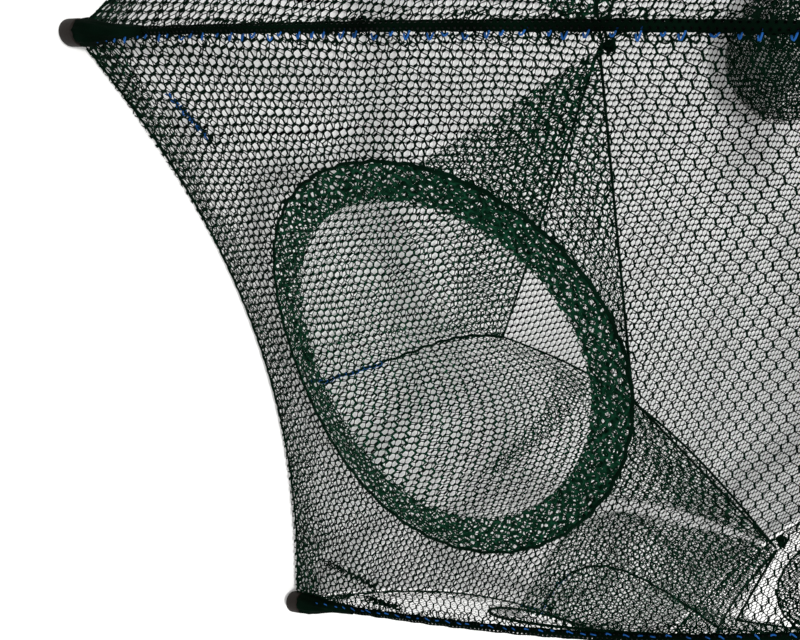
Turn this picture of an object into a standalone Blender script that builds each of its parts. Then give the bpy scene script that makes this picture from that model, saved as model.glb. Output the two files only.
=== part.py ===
"""Folding fish trap: eight sprung ribs on a folding hub, netted sides with a round
funnel entry in each, a net floor and a bait bag. Metres, +Z up, origin on the ground
under the hub. The trap is modelled open, as it stands on the bottom."""

import math

import bmesh
import bpy
import numpy as np
from mathutils import Matrix, Vector

# Frame
RIB_COUNT = 8
ROD_DIAMETER = 0.0030
RIB_FREE_LENGTH = 0.692
ROOT_SLOPE = math.radians(9.1)
MIDDLE_SLOPE = math.radians(50.3)
TIP_SLOPE = math.radians(62.4)
ROD_POINTS = 13

# Clearances
TOUCH_GAP = 0.0003
RUNNING_GAP = 0.0003
FRAME_GAP = 0.0004

# Hub
HINGE_RADIUS = 0.026
HUB_RADIUS = 0.034
HUB_BELOW_PIN = 0.0075
HUB_ABOVE_PIN = 0.0098
RECESS_RADIUS = 0.0178
SLOT_ROOF = 0.0064
COVER_THICKNESS = 0.0032
COVER_BOSS_RADIUS = 0.0085
COVER_BOSS_HEIGHT = 0.0045
PIN_DIAMETER = 0.0020

# Rib sockets
SOCKET_WIDTH = 0.0060
SOCKET_HEIGHT = 0.0072
SOCKET_REACH = 0.032
ROD_GRIP = 0.020
KNUCKLE_RADIUS = 0.0040
LEVER_LENGTH = 0.0130
LEVER_HEIGHT = 0.0024
NUB_RADIUS = 0.0015
FOLD_ANGLE = math.radians(41.5)

# Runner
STEM_RADIUS = 0.0040
FLANGE_RADIUS = 0.0150
FLANGE_THICKNESS = 0.0024
RUNNER_FOOT = 0.0060
EYE_RADIUS = 0.0095
EYE_BORE = 0.0050
EYE_THICKNESS = 0.0070
EYE_RISE = 0.0160

# Tip caps
CAP_RADIUS = 0.0071
CAP_ROUNDING = 0.0024
CAP_END = 0.0042
CAP_SHOULDER = 0.0052
CAP_NECK = 0.0080
CAP_NECK_RADIUS = 0.0046
CAP_HEIGHT = 0.0053

# Nets
NET_THICKNESS = 0.0009
RIM_SAG = 0.19
UPPER_SAG = 0.10
SAG_FADE = 0.087
NET_TOP_GAP = 0.0025
FLOOR_NET_DROP = 0.0006
NET_STRAND = 0.0060
NET_ROWS = 3
NET_ROW_GROWTH = 1.2
FLOOR_MESH = 0.096
FLOOR_HEM = 0.010

# Entries
RING_RADIUS = 0.112
RING_ARC = 0.152
RING_SHIFT = 0.0066
RING_CORD = 0.0030
RING_POINTS = 20
RIM_POINTS = 4
HIGH_TIE = (0.3125, 0.2590)
LOW_TIE = (0.3460, 0.2270)
LIP_LOW = (0.026, 0.322, 0.110)
LIP_TOP = (0.024, 0.011)
LIP_BOW = (0.021, 0.013)
TIE_SPACING = 0.0012
FUNNEL_ROWS = 3

# Bait bag
BAG_RADIUS = 0.056
BAG_HEIGHT = 0.088
BAG_CENTRE = (-0.050, 0.045)

NET_GREEN = (0.013, 0.060, 0.036)
BLACK_PLASTIC = (0.020, 0.020, 0.021)
CAP_BROWN = (0.035, 0.024, 0.019)
ROD_BLACK = (0.012, 0.013, 0.013)
STEEL = (0.55, 0.55, 0.56)

SECTOR = math.tau / RIB_COUNT
HALF_SECTOR = SECTOR / 2
PROFILE_STEPS = 600
RIB_LENGTH = SOCKET_REACH + RIB_FREE_LENGTH

PARTS = bpy.data.collections.new("folding_fish_trap")
CUTTERS = bpy.data.collections.new("cutters")


def clear_scene():
    for item in list(bpy.data.objects):
        bpy.data.objects.remove(item, do_unlink=True)
    for group in (PARTS, CUTTERS):
        bpy.context.scene.collection.children.link(group)


def finish(name, colour, roughness, metallic=0.0):
    """A plain material of one colour."""
    found = bpy.data.materials.get(name)
    if found:
        return found
    made = bpy.data.materials.new(name)
    made.use_nodes = True
    shader = made.node_tree.nodes["Principled BSDF"]
    shader.inputs["Base Color"].default_value = (*colour, 1.0)
    shader.inputs["Roughness"].default_value = roughness
    shader.inputs["Metallic"].default_value = metallic
    return made


def place(name, data, material, group=None, matrix=None):
    """Links an object that holds this mesh or curve."""
    item = bpy.data.objects.new(name, data)
    (group or PARTS).objects.link(item)
    if matrix is not None:
        item.matrix_world = matrix
    if material is not None:
        data.materials.append(material)
    return item


def cutter(name, data, matrix=None):
    item = place(name, data, None, CUTTERS, matrix)
    item.hide_render = True
    item.display_type = "WIRE"
    return item


def subtract(item, tool, name="Cut"):
    change = item.modifiers.new(name, "BOOLEAN")
    change.operation = "DIFFERENCE"
    change.solver = "EXACT"
    change.object = tool
    return change


def unite(item, tool):
    change = item.modifiers.new("Join", "BOOLEAN")
    change.operation = "UNION"
    change.solver = "EXACT"
    change.object = tool
    return change


def cylinder_mesh(name, radius, depth, sides=16, matrix=None):
    """A closed cylinder along Z, centred on the origin before its matrix."""
    data = bpy.data.meshes.new(name)
    shape = bmesh.new()
    bmesh.ops.create_cone(
        shape, cap_ends=True, segments=sides, radius1=radius, radius2=radius, depth=depth
    )
    if matrix is not None:
        bmesh.ops.transform(shape, matrix=matrix, verts=shape.verts)
    shape.to_mesh(data)
    shape.free()
    return data


def box_mesh(name, low, high):
    """A box between two corners."""
    data = bpy.data.meshes.new(name)
    shape = bmesh.new()
    bmesh.ops.create_cube(shape, size=1.0)
    middle = (Vector(low) + Vector(high)) / 2
    size = Vector(high) - Vector(low)
    for vertex in shape.verts:
        vertex.co = Vector(a * b for a, b in zip(vertex.co, size)) + middle
    shape.to_mesh(data)
    shape.free()
    return data


def turned(name, profile, material, matrix, steps=16):
    """A profile of (radius, height) points, top to bottom on the outer side, spun about Z."""
    data = bpy.data.meshes.new(name)
    count = len(profile)
    closed = profile[0][0] > 0 or profile[-1][0] > 0
    edges = [(n, n + 1) for n in range(count - 1)]
    if closed:
        edges.append((count - 1, 0))
    data.from_pydata([(r, 0.0, z) for r, z in profile], edges, [])
    item = place(name, data, material, matrix=matrix)
    spin = item.modifiers.new("Turn", "SCREW")
    spin.axis = "Z"
    spin.steps = steps
    spin.render_steps = steps
    spin.use_merge_vertices = True
    spin.merge_threshold = 0.00001
    return item


def tube(name, points, radius, material, closed=False, resolution=2):
    """A round cord or rod along points, with closed ends."""
    data = bpy.data.curves.new(name, "CURVE")
    data.dimensions = "3D"
    data.bevel_depth = radius
    data.bevel_resolution = resolution
    data.use_fill_caps = not closed
    line = data.splines.new("POLY")
    line.points.add(len(points) - 1)
    for target, point in zip(line.points, points):
        target.co = (*point, 1.0)
    line.use_cyclic_u = closed
    return place(name, data, material)


def tube_mesh(name, points, radius):
    """A closed loop of round cord as a mesh, for use as a cutter."""
    guide = tube(f"{name}_guide", points, radius, None, True)
    graph = bpy.context.evaluated_depsgraph_get()
    data = bpy.data.meshes.new_from_object(guide.evaluated_get(graph))
    data.name = name
    bpy.data.objects.remove(guide, do_unlink=True)
    return data


def rib_slope(distance):
    """The rib's fall below level, at a distance along it; the socket keeps it straight."""
    inside = distance < SOCKET_REACH
    share = np.where(inside, SOCKET_REACH / 2, distance) / RIB_LENGTH
    swing = 2 * (MIDDLE_SLOPE - ROOT_SLOPE) * share
    bend = (TIP_SLOPE - 2 * MIDDLE_SLOPE + ROOT_SLOPE) * (2 * share - 1) * share
    return ROOT_SLOPE + swing + bend


def rib_table():
    """Distances along the rib with its radius and its drop from the hinge."""
    along = np.linspace(0.0, RIB_LENGTH, PROFILE_STEPS + 1)
    slope = rib_slope((along[1:] + along[:-1]) / 2)
    step = np.diff(along)
    radius = HINGE_RADIUS + np.concatenate([[0.0], np.cumsum(np.cos(slope) * step)])
    drop = np.concatenate([[0.0], np.cumsum(np.sin(slope) * step)])
    return along, radius, drop


SOCKET_SLOPE = float(rib_slope(0.0))
ALONG, RADII, DROPS = rib_table()
HUB_HEIGHT = CAP_HEIGHT + float(DROPS[-1])
TIP_RADIUS = float(RADII[-1])


def rib_point(distance):
    """Radius and height of the rib's centre line."""
    radius = float(np.interp(distance, ALONG, RADII))
    return radius, HUB_HEIGHT - float(np.interp(distance, ALONG, DROPS))


def sector_frame(azimuth):
    """Turns local (across, outward, up) into the world, for one direction round the hub."""
    across = Vector((math.cos(azimuth), math.sin(azimuth), 0.0))
    outward = Vector((math.sin(azimuth), -math.cos(azimuth), 0.0))
    frame = Matrix.Identity(4)
    for row in range(3):
        frame[row][0] = across[row]
        frame[row][1] = outward[row]
        frame[row][2] = (0.0, 0.0, 1.0)[row]
    return frame


def turn_frame(azimuth):
    """A right-handed frame whose X points outward and Y across, at the hinge height."""
    turn = Matrix.Rotation(azimuth - math.pi / 2, 4, "Z")
    return Matrix.Translation((0.0, 0.0, HUB_HEIGHT)) @ turn


def rib_azimuth(number):
    return (number - 1) * SECTOR - HALF_SECTOR


def gore_azimuth(number):
    return (number - 1) * SECTOR


def build_rods():
    black = finish("rod_finish", ROD_BLACK, 0.35)
    start = SOCKET_REACH - ROD_GRIP + TOUCH_GAP
    inner = [start, SOCKET_REACH]
    spread = np.linspace(SOCKET_REACH, RIB_LENGTH - CAP_NECK, ROD_POINTS - 2)[1:]
    stations = [*inner, *spread, RIB_LENGTH]
    for number in range(1, RIB_COUNT + 1):
        frame = sector_frame(rib_azimuth(number))
        points = []
        for station in stations:
            radius, height = rib_point(station)
            points.append(frame @ Vector((0.0, radius, height)))
        tube(f"rib_rod_{number}", points, ROD_DIAMETER / 2, black, resolution=1)


def build_caps():
    """Rubber thimbles on the rod tips, worn flat where they stand on the ground."""
    brown = finish("cap_finish", CAP_BROWN, 0.7)
    bore = ROD_DIAMETER / 2 + TOUCH_GAP
    profile = [
        (0.0, -TOUCH_GAP),
        (bore, -TOUCH_GAP),
        (bore, CAP_NECK),
        (CAP_NECK_RADIUS, CAP_NECK),
        (CAP_RADIUS, CAP_SHOULDER),
        (CAP_RADIUS, CAP_ROUNDING - CAP_END),
        (CAP_RADIUS - CAP_ROUNDING * 0.3, CAP_ROUNDING * 0.3 - CAP_END),
        (CAP_RADIUS - CAP_ROUNDING, -CAP_END),
        (0.0, -CAP_END),
    ]
    ground = cutter("ground", box_mesh("ground", (-1.0, -1.0, -0.1), (1.0, 1.0, 0.0)))
    for number in range(1, RIB_COUNT + 1):
        azimuth = rib_azimuth(number)
        radius, height = rib_point(RIB_LENGTH)
        axis = Vector((-math.cos(TIP_SLOPE), 0.0, math.sin(TIP_SLOPE)))
        tilt = Vector((0.0, 0.0, 1.0)).rotation_difference(axis).to_matrix().to_4x4()
        spot = Matrix.Translation((radius, 0.0, height - HUB_HEIGHT))
        matrix = turn_frame(azimuth) @ spot @ tilt
        cap = turned(f"tip_cap_{number}", profile, brown, matrix, 10)
        subtract(cap, ground)


def socket_outline():
    """The socket seen from the side, X along its tube and Y up, from the hinge."""
    half = SOCKET_HEIGHT / 2
    lever_angle = math.pi + FOLD_ANGLE / 2 + SOCKET_SLOPE
    along = Vector((math.cos(lever_angle), math.sin(lever_angle)))
    side = Vector((-along.y, along.x))
    nub = along * LEVER_LENGTH
    points = [(SOCKET_REACH, -half), (SOCKET_REACH, half), (KNUCKLE_RADIUS, half)]
    first = math.pi * 0.5
    last = lever_angle - math.pi * 0.28
    for n in range(4):
        angle = first + (last - first) * n / 3
        points.append((KNUCKLE_RADIUS * math.cos(angle), KNUCKLE_RADIUS * math.sin(angle)))
    neck = nub - along * NUB_RADIUS * 1.1
    points.append(tuple(neck - side * LEVER_HEIGHT / 2 * 0.8))
    for n in range(7):
        angle = lever_angle - math.pi * 0.75 + math.pi * 1.5 * n / 6
        spot = nub + Vector((math.cos(angle), math.sin(angle))) * NUB_RADIUS
        points.append(tuple(spot))
    points.append(tuple(neck + side * LEVER_HEIGHT / 2 * 0.8))
    first = lever_angle + math.pi * 0.28
    last = math.pi * 1.5
    for n in range(3):
        angle = first + (last - first) * n / 2
        points.append((KNUCKLE_RADIUS * math.cos(angle), KNUCKLE_RADIUS * math.sin(angle)))
    points.append((KNUCKLE_RADIUS, -half))
    return points


def plate(name, outline, width, material, matrix):
    """A flat outline in local X and Z, widened equally to both sides along Y."""
    data = bpy.data.meshes.new(name)
    shape = bmesh.new()
    ring = [shape.verts.new((x, -width / 2, z)) for x, z in outline]
    face = shape.faces.new(ring)
    grown = bmesh.ops.extrude_face_region(shape, geom=[face])
    moved = [part for part in grown["geom"] if isinstance(part, bmesh.types.BMVert)]
    bmesh.ops.translate(shape, verts=moved, vec=(0.0, width, 0.0))
    bmesh.ops.recalc_face_normals(shape, faces=shape.faces)
    shape.to_mesh(data)
    shape.free()
    return place(name, data, material, matrix=matrix)


def build_sockets():
    """Folding knuckles: a rod socket outside the hinge and a lever inside it."""
    plastic = finish("socket_finish", BLACK_PLASTIC, 0.5)
    fall = Matrix.Rotation(SOCKET_SLOPE, 4, "Y")
    outline = socket_outline()
    bore_radius = ROD_DIAMETER / 2 + TOUCH_GAP
    bore_turn = Matrix.Rotation(math.pi / 2, 4, "Y")
    bore_spot = Matrix.Translation((SOCKET_REACH - ROD_GRIP / 2 + 0.005, 0.0, 0.0))
    pin_turn = Matrix.Rotation(math.pi / 2, 4, "X")
    pin_hole = PIN_DIAMETER / 2 + RUNNING_GAP
    bore = cylinder_mesh("rod_bore", bore_radius, ROD_GRIP + 0.010, 10, bore_spot @ bore_turn)
    eye = cylinder_mesh("hinge_bore", pin_hole, SOCKET_WIDTH * 2, 10, pin_turn)
    for number in range(1, RIB_COUNT + 1):
        spot = Matrix.Translation((HINGE_RADIUS, 0.0, 0.0))
        matrix = turn_frame(rib_azimuth(number)) @ spot @ fall
        socket = plate(f"rib_socket_{number}", outline, SOCKET_WIDTH, plastic, matrix)
        subtract(socket, cutter(f"rod_bore_{number}", bore, matrix))
        subtract(socket, cutter(f"hinge_bore_{number}", eye, matrix))


def build_hub():
    """A ring with eight slots open below, closed above by a cover."""
    plastic = finish("hub_finish", BLACK_PLASTIC, 0.42)
    centre = Matrix.Translation((0.0, 0.0, HUB_HEIGHT))
    edge = 0.0014
    profile = [
        (RECESS_RADIUS, HUB_ABOVE_PIN),
        (HUB_RADIUS - edge, HUB_ABOVE_PIN),
        (HUB_RADIUS, HUB_ABOVE_PIN - edge),
        (HUB_RADIUS, edge - HUB_BELOW_PIN),
        (HUB_RADIUS - edge, -HUB_BELOW_PIN),
        (RECESS_RADIUS, -HUB_BELOW_PIN),
    ]
    hub = turned("hub_body", profile, plastic, centre, 48)
    half = SOCKET_WIDTH / 2 + RUNNING_GAP
    slot_low = (RECESS_RADIUS * 0.7, -half, -HUB_BELOW_PIN * 2)
    slot = box_mesh("slot", slot_low, (HUB_RADIUS * 1.2, half, SLOT_ROOF))
    for number in range(1, RIB_COUNT + 1):
        frame = turn_frame(rib_azimuth(number))
        subtract(hub, cutter(f"slot_{number}", slot, frame), "Slot")
    channel = tube_mesh("wire_channel", hinge_loop(), PIN_DIAMETER / 2 + TOUCH_GAP)
    subtract(hub, cutter("wire_channel", channel), "Channel")


def hinge_loop():
    """Corners of the eight-sided wire loop; each straight side is one rib's hinge axis."""
    corner = HINGE_RADIUS / math.cos(HALF_SECTOR)
    spots = []
    for number in range(1, RIB_COUNT + 1):
        turn = gore_azimuth(number)
        spots.append((corner * math.sin(turn), -corner * math.cos(turn), HUB_HEIGHT))
    return spots


def build_hinge_wire():
    """The wire loop that strings the eight sockets to the hub, as on an umbrella."""
    steel = finish("wire_finish", STEEL, 0.3, 1.0)
    tube("hinge_wire", hinge_loop(), PIN_DIAMETER / 2, steel, True)


def build_cover():
    """The dished cover that closes the hub and guides the runner's stem."""
    plastic = finish("cover_finish", BLACK_PLASTIC, 0.38)
    base = HUB_ABOVE_PIN + TOUCH_GAP
    top = base + COVER_THICKNESS
    bore = STEM_RADIUS + RUNNING_GAP
    profile = [
        (bore, top + COVER_BOSS_HEIGHT),
        (COVER_BOSS_RADIUS, top + COVER_BOSS_HEIGHT),
        (COVER_BOSS_RADIUS + 0.0012, top + 0.0010),
        (HUB_RADIUS * 0.72, top),
        (HUB_RADIUS, base + COVER_THICKNESS * 0.45),
        (HUB_RADIUS, base),
        (bore, base),
    ]
    turned("hub_cover", profile, plastic, Matrix.Translation((0.0, 0.0, HUB_HEIGHT)), 32)
    return top + COVER_BOSS_HEIGHT


def build_runner(cover_top):
    """The sliding stem with its lower flange, a collar above the levers, and a pull eye."""
    plastic = finish("runner_finish", BLACK_PLASTIC, 0.45)
    centre = Matrix.Translation((0.0, 0.0, HUB_HEIGHT))
    nub_height = -LEVER_LENGTH * math.sin(FOLD_ANGLE / 2)
    reach = NUB_RADIUS + RUNNING_GAP
    flange_top = nub_height - reach
    flange_base = flange_top - FLANGE_THICKNESS
    collar_base = nub_height + reach
    eye_height = cover_top + EYE_RISE
    stem_top = eye_height - (EYE_RADIUS + EYE_BORE) / 2
    profile = [
        (0.0, stem_top),
        (STEM_RADIUS, stem_top),
        (STEM_RADIUS, flange_top),
        (FLANGE_RADIUS, flange_top),
        (FLANGE_RADIUS, flange_base),
        (STEM_RADIUS * 1.6, flange_base - RUNNER_FOOT * 0.4),
        (STEM_RADIUS * 1.2, flange_base - RUNNER_FOOT),
        (0.0, flange_base - RUNNER_FOOT),
    ]
    stem = turned("runner_stem", profile, plastic, centre, 20)
    across = Matrix.Translation((0.0, 0.0, eye_height + HUB_HEIGHT))
    level = Matrix.Rotation(math.pi / 2, 4, "X")
    head = cylinder_mesh("eye_head", EYE_RADIUS, EYE_THICKNESS, 20)
    unite(stem, cutter("eye_head", head, across @ level))
    hole = cylinder_mesh("eye_hole", EYE_BORE, EYE_THICKNESS * 2, 16)
    subtract(stem, cutter("eye_hole", hole, across @ level))
    bore = STEM_RADIUS + TOUCH_GAP
    collar = [
        (bore, collar_base + FLANGE_THICKNESS),
        (FLANGE_RADIUS, collar_base + FLANGE_THICKNESS),
        (FLANGE_RADIUS, collar_base),
        (bore, collar_base),
    ]
    turned("runner_collar", collar, plastic, centre, 20)


def half_width(arc):
    """Half the distance between two neighbouring ribs, at a distance up from the tips."""
    radius, height = rib_point(RIB_LENGTH - arc)
    return radius * math.sin(HALF_SECTOR)


def side_net_point(x, arc):
    """A point of the side net in its sector's frame: x across, arc up from the rim."""
    radius, height = rib_point(RIB_LENGTH - arc)
    half = radius * math.sin(HALF_SECTOR)
    sag = half * (UPPER_SAG + (RIM_SAG - UPPER_SAG) * math.exp(-arc / SAG_FADE))
    share = min(abs(x) / half, 1.0)
    outward = radius * math.cos(HALF_SECTOR) - sag * (1 - share * share)
    return Vector((x, outward, height))


def side_net_normal(x, arc):
    """The side net's outward direction."""
    step = 0.002
    up = side_net_point(x, arc + step) - side_net_point(x, arc)
    across = side_net_point(x + step, arc) - side_net_point(x, arc)
    return up.cross(across).normalized()


def net_outline():
    """Points round a side net's edge, starting at the left rib tip, as many as the ring's."""
    edge = ROD_DIAMETER / 2 + FRAME_GAP + TOUCH_GAP
    top = RIB_FREE_LENGTH - NET_TOP_GAP
    along_rim = RIM_POINTS
    along_rib = (RING_POINTS - RIM_POINTS - 2) // 2
    rises = [top * (n / along_rib) ** 1.25 for n in range(1, along_rib + 1)]
    points = [(2 * n / along_rim - 1, 0.0) for n in range(along_rim + 1)]
    points += [(1.0, rise) for rise in rises]
    points += [(0.0, top)]
    points += [(-1.0, rise) for rise in reversed(rises)]
    spots = []
    for share, arc in points:
        margin = edge if arc > CAP_NECK else CAP_RADIUS + FRAME_GAP * 3
        spots.append((share * (half_width(arc) - margin), arc))
    return spots


def loft(loops):
    """A sheet through closed loops of equally many points."""
    sheet = bmesh.new()
    rows = [[sheet.verts.new(point) for point in loop] for loop in loops]
    count = len(rows[0])
    for lower, upper in zip(rows, rows[1:]):
        for n in range(count):
            after = (n + 1) % count
            sheet.faces.new((lower[n], lower[after], upper[after], upper[n]))
    return sheet


def open_mesh(sheet, strand):
    """Merges a sheet's cells in pairs, then opens each and leaves a strand round it."""
    middles = [edge for edge in sheet.edges if edge.tag and not edge.is_boundary]
    bmesh.ops.dissolve_edges(sheet, edges=middles, use_verts=False)
    spare = [v for v in sheet.verts if not v.is_boundary and len(v.link_edges) == 2]
    bmesh.ops.dissolve_verts(sheet, verts=spare)
    cells = list(sheet.faces)
    bmesh.ops.inset_individual(sheet, faces=cells, thickness=strand / 2, use_even_offset=True)
    bmesh.ops.delete(sheet, geom=cells, context="FACES")


def net(name, sheet, material, frame):
    """An object of a sheet, with the net's thickness to both sides."""
    bmesh.ops.recalc_face_normals(sheet, faces=sheet.faces)
    data = bpy.data.meshes.new(name)
    sheet.to_mesh(data)
    sheet.free()
    item = place(name, data, material, matrix=frame)
    wall = item.modifiers.new("Thickness", "SOLIDIFY")
    wall.thickness = NET_THICKNESS
    wall.offset = 0.0
    wall.use_even_offset = False
    return item


def entry_shift(number):
    """The entries sit off the middle of their sides, to the right and left by turns."""
    return RING_SHIFT if number % 2 else -RING_SHIFT


def ring_spot(number, angle, radius):
    """Across and arc of a point on a circle about the entry, from its lowest point."""
    across = entry_shift(number) + radius * math.sin(angle)
    return across, RING_ARC - radius * math.cos(angle)


def build_side_nets():
    """The eight sides: a coarse mesh between the ribs, the rim, the hub and the ring."""
    green = finish("net_finish", NET_GREEN, 0.75)
    hole = RING_RADIUS + RING_CORD / 2 + TOUCH_GAP + NET_THICKNESS / 2
    for number in range(1, RIB_COUNT + 1):
        loops = []
        for row in range(NET_ROWS + 1):
            share = (row / NET_ROWS) ** NET_ROW_GROWTH
            loop = []
            for n, (x, arc) in enumerate(net_outline()):
                angle = math.tau * (n - RIM_POINTS / 2) / RING_POINTS
                near = ring_spot(number, angle, hole)
                spot = [a + (b - a) * share for a, b in zip(near, (x, arc))]
                loop.append(side_net_point(*spot))
            loops.append(loop)
        sheet = loft(loops)
        for n, vertex in enumerate(sheet.verts):
            vertex.tag = n % RING_POINTS % 2 == 1
        for edge in sheet.edges:
            edge.tag = all(vertex.tag for vertex in edge.verts)
        open_mesh(sheet, NET_STRAND)
        net(f"side_net_{number}", sheet, green, sector_frame(gore_azimuth(number)))


def build_rings():
    """The cord sewn round each entry."""
    green = finish("cord_finish", NET_GREEN, 0.6)
    for number in range(1, RIB_COUNT + 1):
        frame = sector_frame(gore_azimuth(number))
        points = []
        for n in range(RING_POINTS):
            spot = ring_spot(number, math.tau * n / RING_POINTS, RING_RADIUS)
            points.append(frame @ side_net_point(*spot))
        tube(f"entry_ring_{number}", points, RING_CORD / 2, green, True, 1)


def tie_points(number):
    """Where a funnel's mouth is tied beside its two ribs; the ties alternate in height."""
    ties = (LOW_TIE, HIGH_TIE) if number % 2 else (HIGH_TIE, LOW_TIE)
    spots = []
    for side, (radius, height) in zip((-1, 1), ties):
        across = radius * math.sin(HALF_SECTOR) - TIE_SPACING / 2 - NET_THICKNESS
        spots.append(Vector((side * across, radius * math.cos(HALF_SECTOR), height)))
    return spots


def mouth_curve(number):
    """The funnel's inner edge: low lip, right tie, top lip, left tie, from the lowest point."""
    left, right = tie_points(number)
    mirror = 1 if number % 2 else -1
    x, outward, height = LIP_LOW
    low = Vector((x * mirror, outward, height))
    across, depth = LIP_TOP
    spot = (across * mirror, RING_ARC + RING_RADIUS - RING_CORD)
    top = side_net_point(*spot) - side_net_normal(*spot) * depth
    return low, right, top, left


def mouth_point(number, angle):
    """A point of the mouth's edge, at an angle round the entry from its lowest point."""
    corners = mouth_curve(number)
    turn = (angle % math.tau) / (math.pi / 2)
    quarter = int(turn) % 4
    share = turn - int(turn)
    start, end = corners[quarter], corners[(quarter + 1) % 4]
    point = start.lerp(end, share)
    bow = math.sin(math.pi * share)
    across, rise = LIP_BOW
    if number % 2 and quarter == 0:
        point += Vector((-across, 0.0, rise)) * bow
    if number % 2 == 0 and quarter == 3:
        point += Vector((across, 0.0, rise)) * bow
    return point


def build_funnels():
    """Net funnels from each ring to a slit mouth tied between the ribs."""
    green = finish("funnel_finish", NET_GREEN, 0.75)
    start = RING_RADIUS - RING_CORD / 2 - TOUCH_GAP - NET_THICKNESS / 2
    for number in range(1, RIB_COUNT + 1):
        loops = []
        for row in range(FUNNEL_ROWS + 1):
            share = row / FUNNEL_ROWS
            loop = []
            for n in range(RING_POINTS):
                angle = math.tau * n / RING_POINTS
                spot = ring_spot(number, angle, start)
                mouth = mouth_point(number, angle)
                near = side_net_point(*spot)
                inward = -side_net_normal(*spot)
                pull = (mouth - near).length * 0.5
                handle = near + inward * pull * 0.6
                first = near.lerp(handle, share)
                second = handle.lerp(mouth, share)
                loop.append(first.lerp(second, share))
            loops.append(loop)
        frame = sector_frame(gore_azimuth(number))
        net(f"entry_funnel_{number}", loft(loops), green, frame)


def floor_edge(azimuth):
    """The floor net's radius: it follows the side nets' rim and stops short of the caps."""
    offset = (azimuth + HALF_SECTOR) % SECTOR - HALF_SECTOR
    half = TIP_RADIUS * math.sin(HALF_SECTOR)
    base = TIP_RADIUS * math.cos(HALF_SECTOR)
    across = base * math.tan(offset)
    share = min(abs(across) / half, 1.0)
    depth = base - half * RIM_SAG * (1 - share * share)
    cap_face = TIP_RADIUS - CAP_RADIUS / math.sin(TIP_SLOPE) - TOUCH_GAP
    return min(depth / math.cos(offset), cap_face)


def build_floor_net():
    """The flat floor net: a hem round its edge and a lattice of six-sided gaps."""
    green = finish("floor_finish", NET_GREEN, 0.75)
    top = CAP_HEIGHT - FLOOR_NET_DROP
    data = bpy.data.meshes.new("floor_net")
    shape = bmesh.new()
    sides = RIB_COUNT * 6
    ring = []
    for n in range(sides):
        azimuth = math.tau * n / sides
        radius = floor_edge(azimuth)
        spot = (radius * math.sin(azimuth), -radius * math.cos(azimuth), top)
        ring.append(shape.verts.new(spot))
    face = shape.faces.new(ring)
    grown = bmesh.ops.extrude_face_region(shape, geom=[face])
    moved = [part for part in grown["geom"] if isinstance(part, bmesh.types.BMVert)]
    bmesh.ops.translate(shape, verts=moved, vec=(0.0, 0.0, -NET_THICKNESS))
    bmesh.ops.recalc_face_normals(shape, faces=shape.faces)
    shape.to_mesh(data)
    shape.free()
    net = place("floor_net", data, green)

    gaps = bmesh.new()
    hole = (FLOOR_MESH - NET_STRAND) / math.sqrt(3)
    reach = int(TIP_RADIUS / FLOOR_MESH) + 2
    for row in range(-reach, reach + 1):
        for column in range(-reach, reach + 1):
            x = (column + (row % 2) / 2) * FLOOR_MESH
            y = row * FLOOR_MESH * math.sqrt(3) / 2
            edge = floor_edge(math.atan2(x, -y))
            if math.hypot(x, y) + hole + FLOOR_HEM > edge:
                continue
            bmesh.ops.create_cone(
                gaps,
                cap_ends=True,
                segments=6,
                radius1=hole,
                radius2=hole,
                depth=0.02,
                matrix=Matrix.Translation((x, y, top)),
            )
    tool = bpy.data.meshes.new("floor_gaps")
    gaps.to_mesh(tool)
    gaps.free()
    subtract(net, cutter("floor_gaps", tool), "Gaps")
    return top


def build_bait_bag(floor_top):
    """A drawn-up pouch that lies on the floor net."""
    green = finish("bag_finish", NET_GREEN, 0.8)
    base = floor_top + TOUCH_GAP
    share = [
        (0.0, 1.0),
        (0.14, 1.0),
        (0.10, 0.90),
        (0.42, 0.80),
        (0.82, 0.62),
        (1.0, 0.38),
        (0.93, 0.16),
        (0.66, 0.03),
        (0.45, 0.0),
        (0.0, 0.0),
    ]
    profile = [(r * BAG_RADIUS, z * BAG_HEIGHT) for r, z in share]
    spot = Matrix.Translation((*BAG_CENTRE, base))
    turned("bait_bag", profile, green, spot, 16)


def build():
    clear_scene()
    build_rods()
    build_caps()
    build_sockets()
    build_hub()
    build_hinge_wire()
    cover_top = build_cover()
    build_runner(cover_top)
    build_side_nets()
    build_rings()
    build_funnels()
    floor_top = build_floor_net()
    build_bait_bag(floor_top)


build()
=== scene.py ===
"""Dresses the folding fish trap: knotless netting, sewn sleeves, funnels, hub and studio."""

import math

import bmesh
import bpy
import numpy as np
from mathutils import Matrix, Vector


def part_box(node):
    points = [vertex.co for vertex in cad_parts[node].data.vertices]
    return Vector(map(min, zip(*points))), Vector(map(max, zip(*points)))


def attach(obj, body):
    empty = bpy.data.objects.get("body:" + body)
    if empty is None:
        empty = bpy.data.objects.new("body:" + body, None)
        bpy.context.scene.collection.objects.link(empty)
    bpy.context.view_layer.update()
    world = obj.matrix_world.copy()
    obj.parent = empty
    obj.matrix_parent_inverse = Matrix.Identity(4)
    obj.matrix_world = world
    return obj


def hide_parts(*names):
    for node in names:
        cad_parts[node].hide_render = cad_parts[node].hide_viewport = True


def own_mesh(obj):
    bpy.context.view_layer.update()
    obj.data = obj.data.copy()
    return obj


bl_info = {
    "name": "Folding fish trap",
    "version": (1, 0, 0),
    "blender": (4, 5, 0),
    "location": "View3D > Sidebar > Fish trap",
    "description": "Netting, sleeves, stitching, funnels and hub of a folding fish trap",
    "category": "Object",
}

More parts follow.
